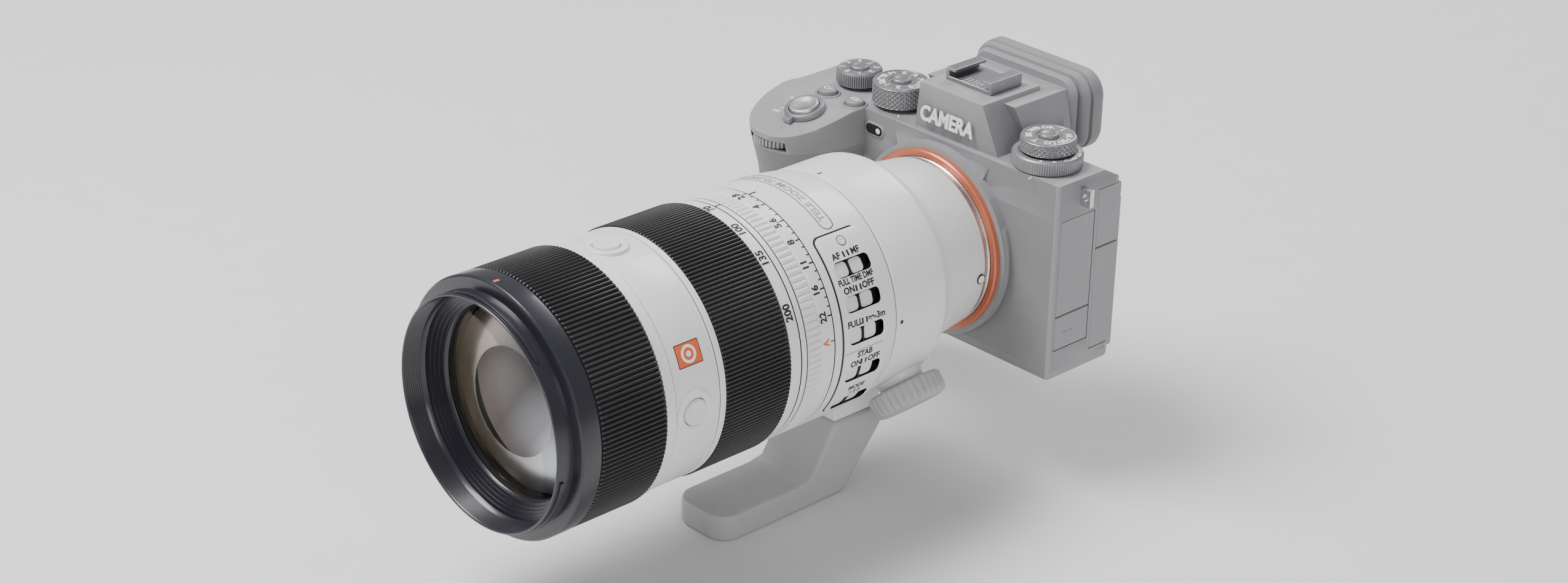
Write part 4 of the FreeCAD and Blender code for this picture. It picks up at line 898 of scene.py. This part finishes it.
collar = ring("collar_shell", [
    (COLLAR[0], 36.9), (COLLAR[0], COLLAR_RADIUS - 0.5), (COLLAR[0] + 0.5, COLLAR_RADIUS),
    (-34.0, COLLAR_RADIUS), (-31.6, COLLAR_RADIUS - 0.25), (-29.8, COLLAR_RADIUS - 1.1),
    (-28.3, COLLAR_RADIUS - 2.3), (-27.3, COLLAR_RADIUS - 3.5), (COLLAR[1], COLLAR_RADIUS - 4.3),
    (COLLAR[1], 36.9),
], M["white"], "tripod_collar", "lens_white", soft=0.4)
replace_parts(collar, "tripod_collar")
wrapped("collar_marks", [(bar(0.6, 2.2), 0, -53.2, "round")], COLLAR_RADIUS + 0.02, M["ink"], "tripod_collar")
lathe("collar_dot", [(0, 40.5), (0.75, 40.5), (0.75, COLLAR_RADIUS + 0.05), (0, COLLAR_RADIUS + 0.05)],
      M["ink"], "tripod_collar", "front_black", base=(0, -53.0, 0), turn=radial_turn(89.5), soft=0.02,
      steps=32)
block("collar_pad", (-12, 12), (-54.5, -32.5), (-49, -37.6), M["white"], "tripod_collar",
      soft=0.8)
KNOB = 139.0
KNOB_Y = -38.5
lathe("knob_boss", [(4.2, 39.2), (9.0, 39.2), (8.0, 43.3), (4.2, 43.3)], M["white"], "tripod_collar",
      "lens_white", base=(0, KNOB_Y, 0), turn=radial_turn(KNOB), soft=0.4)
knob_ribs = 30


def knob_wave(step, height, radius):
    if radius < 12.4:
        return radius
    return radius - 0.55 * (1 - (0.0, 0.7, 0.95, 1.0, 1.0, 0.95, 0.7, 0.0)[step % 8])


knob = lathe("knob_shell", [(0, 38.6), (3.0, 38.6), (3.0, 43.6), (12.2, 43.6), (13.5, 44.6), (13.5, 46.5),
                            (13.5, 49.5), (12.9, 51.0), (11.8, 51.7), (10.6, 52.0), (9.8, 51.5), (0, 51.3),],
             M["foot"], "collar_knob", "foot_grey", base=(0, KNOB_Y, 0), turn=radial_turn(KNOB),
             steps=8 * knob_ribs, wave=knob_wave, soft=0.3)
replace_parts(knob, "collar_knob")
foot_hole = -SHIFT.y / MM  # the foot's threaded hole is the row's origin
skin("tripod_foot", M["foot"], size=1.7, steps=2, least=0.1,
     allowed=lambda p: math.hypot(p.x, p.y - foot_hole) > 6)

# ---- camera body: covers, doors and small fittings ----

for name in ("top_cover", "front_cover", "rear_cover", "base_plate"):
    skin(name, M["body"], size=0.35, least=1.2)
skin("handgrip", M["grip"], size=0.3, least=0.6)
for name in ("sync_door", "lan_door", "mic_door", "hdmi_door", "card_door", "battery_door"):
    skin(name, M["door"], size=0.3, least=0.3)
skin("hot_shoe", M["shoe"], size=0.25, least=0.5)
skin("strap_lugs", M["steel"], size=0.5, least=0.1)
skin("monitor_bracket", M["button"], size=0.15, least=0.5)
skin("monitor", M["body"], size=0.4, least=0.5)
skin("power_lever", M["dial"], size=0.25, least=0.3)

for name, key in (("mount_flange", "steel"), ("mount_trim_ring", "orange"), ("eyepiece_lens", "window"),
                  ("image_sensor", "chip"), ("battery", "cell"), ("lens_bayonet", "steel")):
    item = NODES[name]
    if not item.material_slots:
        item.data.materials.append(M[key])
    for material_slot in item.material_slots:
        material_slot.material = M[key]

# ---- camera body: eyecup, finder and sensor side ----


def rounded_loop(half_w, half_h, corner, count=96):
    """Points round a rectangle with round corners, at even shares of its four sides and corners."""
    corner = min(corner, half_w - 0.01, half_h - 0.01)
    points = []
    per = count // 4
    for quarter, (sx, sy) in enumerate(((1, 1), (-1, 1), (-1, -1), (1, -1))):
        for n in range(per):
            a = math.radians(90 * quarter + 90 * n / (per - 1))
            points.append((sx * (half_w - corner) + corner * math.cos(a),
                           sy * (half_h - corner) + corner * math.sin(a)))
    return points


def swept(name, sections, centre, material, body, sharp=40.0):
    """A closed band through rounded rectangles (y, half width, half height, corner) about a centre (x, z)."""
    loops = [[(centre[0] + x, y, centre[1] + z) for x, z in rounded_loop(w, h, c)] for y, w, h, c in sections]
    count = len(loops[0])
    verts = [point for loop in loops for point in loop]
    faces = []
    for k in range(len(loops)):
        after = (k + 1) % len(loops)
        for n in range(count):
            m = (n + 1) % count
            faces.append((k * count + n, k * count + m, after * count + m, after * count + n))
    return add(name, verts, faces, material, body, sharp)


EYE_BACK = span("eyecup", 1)
EYE_W = (span("eyecup", 0)[1] - span("eyecup", 0)[0]) / 2
EYE_Z = span("eyecup", 2)
EYE_H = (EYE_Z[1] - EYE_Z[0]) / 2
eye_centre = (0.0, (EYE_Z[0] + EYE_Z[1]) / 2)
y0, y1 = EYE_BACK
cup = swept("eyecup_shell", [
    (y0, 15.5, 9.5, 4), (y0, 22.5, 12.6, 5), (y0 + 1.2, 24.0, 13.2, 6), (y0 + 2.2, 24.4, 13.4, 6),
    (y0 + 2.6, 23.6, 12.9, 6), (y0 + 3.2, 23.6, 12.9, 6), (y0 + 3.6, 25.6, 13.9, 7),
    (y0 + 5.0, 26.9, 14.5, 8), (y0 + 6.0, 27.2, 14.6, 8), (y0 + 6.4, 26.6, 14.2, 8),
    (y0 + 6.9, 26.6, 14.2, 8), (y0 + 7.3, 27.7, 14.8, 8.5), (y0 + 9.5, EYE_W, EYE_H, 9),
    (y1 - 1.6, EYE_W, EYE_H, 9), (y1 - 0.6, EYE_W - 0.5, EYE_H - 0.5, 8.6), (y1, EYE_W - 1.9, EYE_H - 1.7, 8),
    (y1, 19.5, 12.0, 6.5), (y1 - 0.7, 18.0, 11.0, 5.5), (y1 - 3.0, 16.4, 10.0, 4.8), (y1 - 7.0, 15.5, 9.5, 4),
], eye_centre, M["cup"], "camera_body")
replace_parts(cup, "eyecup")
swept("finder_frame", [
    (y0 - 0.6, 12.2, 7.2, 2.5), (y0 - 0.6, 15.4, 9.4, 3.5), (y0 + 1.2, 15.4, 9.4, 3.5),
    (y0 + 0.2, 12.2, 7.2, 2.5),
], eye_centre, M["matt"], "camera_body")

# ---- camera body: dials ----


def side_rows(radius, low, high, step=0.35):
    """Points up a knob's side, close enough together for a knurl to show."""
    count = max(2, int((high - low) / step))
    return [(radius, low + (high - low) * n / count) for n in range(count + 1)]


def upright_dial(node, radius, low, high, spindle, wave, top, steps, body=None):
    low_foot = span(node, 2)[0]
    centre = ((span(node, 0)[0] + span(node, 0)[1]) / 2, (span(node, 1)[0] + span(node, 1)[1]) / 2, 0)
    corners = [(3.7, low_foot), (spindle, low_foot), (spindle, low), (radius - 0.5, low),
               (radius - 0.15, low + 0.3)]
    corners += side_rows(radius, low + 0.45, high - 1.0)
    corners += [(radius - 0.15, high - 0.75)] + top
    item = lathe(node + "_knob", corners, M["dial"], body or node, "dial_metal", base=centre, steps=steps,
                 wave=wave, soft=0)
    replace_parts(item, node)
    return centre


DIALS = {}
for node, base, knurl in (("mode_dial", 38.4, 34), ("drive_dial", 42.9, 32)):
    radius = (span(node, 0)[1] - span(node, 0)[0]) / 2
    high = span(node, 2)[1]
    top = [(radius - 0.5, high - 0.4), (radius - 0.6, high - 0.1), (radius - 0.9, high), (radius - 1.3, high),
           (radius - 1.5, high - 0.25), (4.6, high - 0.25), (4.2, high - 0.7), (3.7, high - 0.7)]
    steps = knurl * 10
    DIALS[node] = upright_dial(node, radius, base, high, 5.0, diamonds(steps, knurl, radius, 0.6, 1.75), top,
                               steps), radius, high
node = "exposure_dial"
radius = (span(node, 0)[1] - span(node, 0)[0]) / 2
high = span(node, 2)[1]
fine = (0.0, 0.7, 1.0, 1.0, 0.7)
DIALS[node] = upright_dial(node, radius, 38.2, high, 5.0, ribs(5, radius, 0.35, fine),
                           [(radius - 0.5, high - 0.4), (radius - 0.7, high), (radius - 1.2, high - 0.2),
                            (4.6, high - 0.2), (4.2, high - 0.6), (3.7, high - 0.6)], 5 * 64), radius, high
for node, (centre, radius, high) in DIALS.items():
    lock = node + "_lock"
    top = span(lock, 2)[1]
    button = lathe(node + "_cap", [(0, span(lock, 2)[0]), (3.4, span(lock, 2)[0]), (3.4, top - 0.5),
                                   (3.0, top), (2.4, top), (1.5, top - 0.25), (0, top - 0.35)], M["dial"],
                   lock, "dial_metal", base=centre, soft=0.15, steps=64)
    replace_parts(button, lock)

node = "focus_mode_dial"
radius = (span(node, 0)[1] - span(node, 0)[0]) / 2
low, high = span(node, 2)
centre = DIALS["drive_dial"][0]
item = lathe("focus_mode_ring", [(5.3, low), (radius - 0.4, low),
                                 (radius - 0.1, low + 0.35)] + side_rows(radius, low + 0.6, high - 0.9,
                                                                         1.0) + [(radius - 0.1, high - 0.65),
                                                                                 (radius - 0.5, high - 0.2),
                                                                                 (radius - 0.9, high),
                                                                                 (10.2, high),
                                                                                 (10.0, high - 0.5),
                                                                                 (5.3, high - 0.5)],
             M["dial"], node, "dial_metal", base=centre, steps=5 * 90, wave=ribs(5, radius, 0.22, fine),
             soft=0)
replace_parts(item, node)

# ---- camera body: wheels and buttons ----

for node in ("front_dial", "rear_dial"):
    radius = (span(node, 0)[1] - span(node, 0)[0]) / 2
    low, high = span(node, 2)
    centre = ((span(node, 0)[0] + span(node, 0)[1]) / 2, (span(node, 1)[0] + span(node, 1)[1]) / 2, 0)
    item = lathe(node + "_wheel", [(0, low), (radius - 0.5, low), (radius - 0.1, low + 0.3),
                                   (radius, low + 0.6), (radius, high - 0.6), (radius - 0.1, high - 0.3),
                                   (radius - 0.5, high), (0, high)], M["dial"], node, "dial_metal",
                 base=centre, steps=8 * 40, wave=ribs(8, radius, 0.75,
                                                      (0.0, 0.6, 0.9, 1.0, 1.0, 0.9, 0.6, 0.0)), soft=0)
    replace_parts(item, node)

TILT = Matrix.Rotation(math.atan(GRIP_SLOPE), 3, "X")
SHUTTER = ((span("shutter_button", 0)[0] + span("shutter_button", 0)[1]) / 2, -7.6,
           TOP - GRIP_SLOPE * (1.0 + 7.6))
item = lathe("shutter_cap", [(0, -4.5), (5.5, -4.5), (5.5, 2.5), (5.2, 3.15), (4.7, 3.35), (3.8, 3.2),
                             (2.0, 2.75), (0, 2.6)], M["release"], "shutter_button", "dial_metal",
             base=SHUTTER, turn=TILT, soft=0.25, steps=96)
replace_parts(item, "shutter_button")

for name, words in (("c1_button", "C1"), ("c2_button", "C2")):
    low, high = span(name, 2)
    centre = ((span(name, 0)[0] + span(name, 0)[1]) / 2, (span(name, 1)[0] + span(name, 1)[1]) / 2, 0)
    item = lathe(name + "_cap", [(0, low), (4.2, low), (4.2, low + 1.5), (3.4, low + 1.5), (3.4, high - 0.6),
                                 (3.0, high - 0.15), (2.2, high), (0, high)], M["button"], name,
                 "button_grey", base=centre, soft=0.25)
    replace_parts(item, name)
    flat_marks(name + "_mark", [(lettering(words, 3.1), 0, 0, 0)], (centre[0], centre[1], high + 0.01),
               (1, 0, 0), (0, 1, 0), M["paint"], name)
    lathe(name + "_collar", [(3.75, 36.6), (4.9, 36.6), (4.9, 37.1), (4.5, 37.55), (4.0, 37.6), (3.75, 37.3)],
          M["body"], "camera_body", "body_shell", base=centre, soft=0.1)

REAR_TURN = Matrix(((1, 0, 0), (0, 0, 1), (0, -1, 0)))  # local Z along +Y


def rear_piece(node, corners, key, slot, name, wave=None, steps=96):
    x = (span(node, 0)[0] + span(node, 0)[1]) / 2
    z = (span(node, 2)[0] + span(node, 2)[1]) / 2
    item = lathe(name, corners, M[key], node, slot, base=(x, 0, z), turn=REAR_TURN, wave=wave, steps=steps,
                 soft=0.15)
    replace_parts(item, node)
    return x, z


rear_piece("control_wheel", [(6.9, 38.0), (8.4, 38.0), (8.4, 41.3), (14.2, 41.3), (14.5, 41.6), (14.5, 42.5),
                             (14.0, 43.0), (12.0, 43.0), (11.6, 42.7), (7.3, 42.7), (6.9, 42.9),], "dial",
           "dial_metal", "control_wheel_ring", wave=lambda step, height,
           radius: radius - (0.25 if radius > 13.8 and step % 4 < 2 else 0), steps=240)
rear_piece("wheel_button", [(0, 38.0), (6.5, 38.0), (6.5, 43.1), (6.0, 43.5), (5.0, 43.6), (2.5, 43.35),
                            (0, 43.3)], "button", "button_grey", "wheel_button_cap")
rear_piece("af_on_button", [(0, 37.4), (5.0, 37.4), (5.0, 38.9), (4.2, 38.9), (4.2, 42.1), (3.8, 42.5),
                            (2.8, 42.6), (0, 42.6)], "button", "button_grey", "af_on_cap")
rear_piece("joystick", [(0, 33.0), (1.8, 33.0), (1.8, 41.0), (2.5, 42.2), (3.5, 43.0), (3.6, 43.6),
                        (3.4, 44.6), (2.8, 45.0), (1.6, 44.7), (0, 44.6)], "cup", "button_grey",
           "joystick_cap", wave=lambda step, height,
           radius: radius - (0.22 if radius > 2.7 and height > 42.5 and step % 6 < 2 else 0), steps=144)
lathe("joystick_boot", [(2.3, 39.0), (4.55, 39.0), (4.55, 40.6), (4.2, 40.9), (3.4, 40.5), (2.3, 40.2)],
      M["cup"], "camera_body", "eyecup_rubber", base=(-32.5, 0, 9.0), turn=REAR_TURN, soft=0.2, steps=64)
front_x = (span("lens_release_button", 0)[0] + span("lens_release_button", 0)[1]) / 2
front_z = (span("lens_release_button", 2)[0] + span("lens_release_button", 2)[1]) / 2
item = lathe("lens_release_cap", [(0, 3.1), (2.2, 3.0), (3.2, 3.1), (3.7, 3.6), (3.7, 8.6), (4.5, 8.6),
                                  (4.5, 10.1), (0, 10.1)], M["button"], "lens_release_button", "button_grey",
             base=(front_x, 0, front_z), turn=REAR_TURN, soft=0.1)
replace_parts(item, "lens_release_button")

# ---- camera body: marks, lamp, screen, contacts ----

hump_up = Vector((0, 5, 30)).normalized()
flat_marks("hump_name", [(lettering("CAMERA", 7.4, 25.5, depth=0.22), 0, 0, 0)],
           (0, 5 + 5 * (43.2 - 23.5) / 30 - 0.1, 43.2), (1, 0, 0), hump_up, M["paint"], "camera_body")


def dial_marks(name, node, words, size, offset=0.0):
    centre, radius, high = DIALS[node]
    parts = []
    reach = (radius + 3.4) / 2 + 0.1
    for n, word in enumerate(words):
        a = math.radians(offset) + math.tau * n / len(words)
        x, y = reach * math.sin(a), reach * math.cos(a)
        parts.append((lettering(word, size), x, y, -math.degrees(a)))
    flat_marks(name, parts, (centre[0], centre[1], high - 0.22), (1, 0, 0), (0, 1, 0), M["paint"], node)


dial_marks("mode_marks", "mode_dial", ["A", "P", "AUTO", "3", "2", "1", "S&Q", "MR", "M", "S"], 3.3)
dial_marks("drive_marks", "drive_dial", ["1", "HI", "MID", "LO", "T", "BK", "WB", "DR"], 3.1)
dial_marks("exposure_marks", "exposure_dial", ["0", "1", "2", "3", "|", "3", "2", "1"], 3.0, offset=180)
mode, drive = DIALS["mode_dial"][0], DIALS["drive_dial"][0]
for name, spot, up in (("mode_index", (mode[0] + 7.9, mode[1] - 9.0, TOP + 0.05), (-0.66, 0.75, 0)),
                       ("drive_index", (drive[0] - 14.4, drive[1] - 2.0, TOP + 0.05), (1, 0.1, 0)),
                       ("focus_index", (drive[0] + 4.5, drive[1] - 13.6, TOP + 0.05), (-0.3, 1, 0)),
                       ("lever_index", (SHUTTER[0] - 8.7, SHUTTER[1] - 3.0, 0), (1, 0.3, 0))):
    right = Vector(up).normalized().cross(Vector((0, 0, 1)))
    if name == "lever_index":
        spot = (spot[0], spot[1], SHUTTER[2] + (spot[1] - SHUTTER[1]) * GRIP_SLOPE + 0.05)
        flat_marks(name, [(bar(0.4, 1.6), 0, 0, 0)], spot, TILT @ Vector(right), TILT @ Vector(up),
                   M["paint"], "camera_body")
        continue
    flat_marks(name, [(bar(0.45, 2.2), 0, 0, 0)], spot, right, up, M["paint"], "camera_body")
flat_marks("lever_words", [(lettering("ON", 1.9), -9.3, -5.6, 20), (lettering("OFF", 1.9), -9.6, 3.2, -10)],
           (SHUTTER[0], SHUTTER[1], SHUTTER[2] + 0.05), TILT @ Vector((1, 0, 0)), TILT @ Vector((0, 1, 0)),
           M["paint"], "camera_body")
focus_words = [(lettering(word, 2.1), 11.4 * math.sin(math.radians(a)), 11.4 * math.cos(math.radians(a)),
                -a + 180) for word, a in (("S", 150), ("A", 127), ("C", 104), ("DMF", 79), ("MF", 52))]
flat_marks("focus_words", focus_words, (drive[0], drive[1], 42.52), (1, 0, 0), (0, 1, 0),
           M["paint"], "focus_mode_dial")

LAMP = (-33.2, 6.5, 30.4)


def pill_block(name, centre, width, height, ys, material, body, bevel=0.0, corner=None):
    w, h = width / 2, height / 2
    c = corner or h
    loops = [[(centre[0] + x, y, centre[2] + z) for x, z in rounded_loop(w, h, c, 64)] for y in ys]
    count = len(loops[0])
    verts = [point for loop in loops for point in loop]
    faces = [tuple(range(count)), tuple(range(2 * count - 1, count - 1, -1))]
    for n in range(count):
        m = (n + 1) % count
        faces.append((n, m, count + m, count + n))
    item = add(name, verts, faces, material, body)
    if bevel:
        soften(item, bevel)
    return item


pill_block("lamp_frame", LAMP, 9.6, 5.2, (6.05, 7.2), M["body"], "camera_body", bevel=0.35)
pill_block("lamp_window", LAMP, 8.2, 3.8, (5.97, 7.2), M["screen"], "camera_body", bevel=0.15)
lathe("lamp_lens", [(0, 5.9), (1.2, 5.98), (1.5, 6.2), (1.5, 7.0), (0, 7.0)], M["paint"], "camera_body",
      "button_white", base=(LAMP[0] + 2.0, 0, LAMP[2]), turn=REAR_TURN, soft=0.1, steps=48)
lathe("lamp_sensor", [(0, 5.95), (0.5, 5.95), (0.6, 6.1), (0.6, 7.0), (0, 7.0)], M["screen"], "camera_body",
      "screen", base=(LAMP[0] - 1.6, 0, LAMP[2]), turn=REAR_TURN, soft=0.05, steps=32)

low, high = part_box("monitor")
mon = [(low[k] - SHIFT[k]) / MM for k in range(3)], [(high[k] - SHIFT[k]) / MM for k in range(3)]
pill_block("monitor_glass", ((mon[0][0] + mon[1][0]) / 2, 0, (mon[0][2] + mon[1][2]) / 2),
           mon[1][0] - mon[0][0] - 3.0, mon[1][2] - mon[0][2] - 3.0, (mon[1][1] - 0.4, mon[1][1] + 0.15),
           M["screen"], "monitor", bevel=0.12, corner=2.0)
block("monitor_tab", (mon[1][0] - 4.5, mon[1][0] - 1.6), (mon[1][1] - 0.2, mon[1][1] + 0.35), (-8, 4),
      M["cup"], "monitor", soft=0.25)
for n, x in enumerate((-3.4, -1.7, 0.0, 1.7, 3.4)):
    block("shoe_contact_%d" % n, (x - 0.45, x + 0.45), (19.2, 23.0), (54.95, 55.12), M["steel"],
          "camera_body", soft=0.1)
for n, y in enumerate((14.6, 18.0)):
    block("sync_dash_%d" % n, (54.8, 55.22), (y - 0.95, y + 0.95), (-20.6, -19.8), M["door"], "sync_door",
          soft=0.2)
for number, (x, z) in enumerate(((-56.5, 15.0), (-63.0, -26.0), (-50.0, -28.0))):
    lathe("rear_key_%d" % number, [(0, 40.4), (3.0, 40.4), (3.0, 41.7), (2.6, 42.0), (0, 42.05)], M["button"],
          "camera_body", "button_grey", base=(x, 0, z), turn=REAR_TURN, soft=0.2, steps=48)
    lathe("rear_key_rim_%d" % number, [(3.1, 40.4), (3.9, 40.4), (3.9, 41.1), (3.6, 41.25), (3.1, 41.05)],
          M["body"], "camera_body", "body_shell", base=(x, 0, z), turn=REAR_TURN, soft=0.1, steps=48)
lathe("mount_dot", [(0, 30), (1.5, 30), (1.5, 32.25), (1.1, 32.45), (0, 32.45)], M["paint"], "lens",
      "button_white", base=(0, -4.6, 0), turn=radial_turn(94), soft=0.1, steps=48)
lathe("mount_dot_rim", [(1.55, 30), (1.85, 30), (1.85, 32.1), (1.55, 32.1)], M["groove"], "lens",
      "front_black", base=(0, -4.6, 0), turn=radial_turn(94), soft=0, steps=48)

# ---- floor, light, camera ----

floor_mesh = bpy.data.meshes.new("floor")
half = 6.0
floor_mesh.from_pydata([(-half, -half, 0), (half, -half, 0), (half, half, 0), (-half, half, 0)], [],
                       [(0, 1, 2, 3)])
floor_mesh.materials.append(finish("floor_paint", (0.80, 0.80, 0.79), 0.7, grain=900.0, bump=0.02,
                                   mottling=0.01))
floor = bpy.data.objects.new("floor", floor_mesh)
bpy.context.scene.collection.objects.link(floor)

world = bpy.data.worlds.new("studio")
bpy.context.scene.world = world
world.use_nodes = True
world.node_tree.nodes["Background"].inputs["Color"].default_value = (0.93, 0.95, 1.0, 1)
world.node_tree.nodes["Background"].inputs["Strength"].default_value = 0.34


def softbox(name, spot, aim, size, power, color=(1, 1, 1)):
    """A square area light."""
    light = bpy.data.lights.new(name, "AREA")
    light.shape = "SQUARE"
    light.size = size
    light.energy = power
    light.color = color
    item = bpy.data.objects.new(name, light)
    item.location = spot
    item.rotation_euler = (Vector(aim) - Vector(spot)).to_track_quat("-Z", "Y").to_euler()
    bpy.context.scene.collection.objects.link(item)


TARGET = Vector((0.02757, -0.016, 0.098))
softbox("key", (-0.45, -0.45, 1.25), TARGET, 0.7, 27)
softbox("fill", (1.3, -0.6, 0.7), TARGET, 0.8, 8)
softbox("rim", (-0.3, 1.1, 1.0), TARGET, 0.6, 10)

AZIMUTH, ELEVATION, ROLL, DISTANCE = math.radians(46.23), math.radians(25.70), math.radians(1.28), 0.96335
back = Vector((math.sin(AZIMUTH) * math.cos(ELEVATION), -math.cos(AZIMUTH) * math.cos(ELEVATION),
               math.sin(ELEVATION)))
right = Vector((0, 0, 1)).cross(back).normalized()
up = back.cross(right)
level_right = right * math.cos(ROLL) + up * math.sin(ROLL)
level_up = up * math.cos(ROLL) - right * math.sin(ROLL)
camera_data = bpy.data.cameras.new("camera")
camera_data.sensor_width = 36.0
camera_data.lens = 67.96
camera = bpy.data.objects.new("camera", camera_data)
matrix = Matrix((level_right, level_up, back)).transposed().to_4x4()
matrix.translation = TARGET + back * DISTANCE
camera.matrix_world = matrix
bpy.context.scene.collection.objects.link(camera)
bpy.context.scene.camera = camera
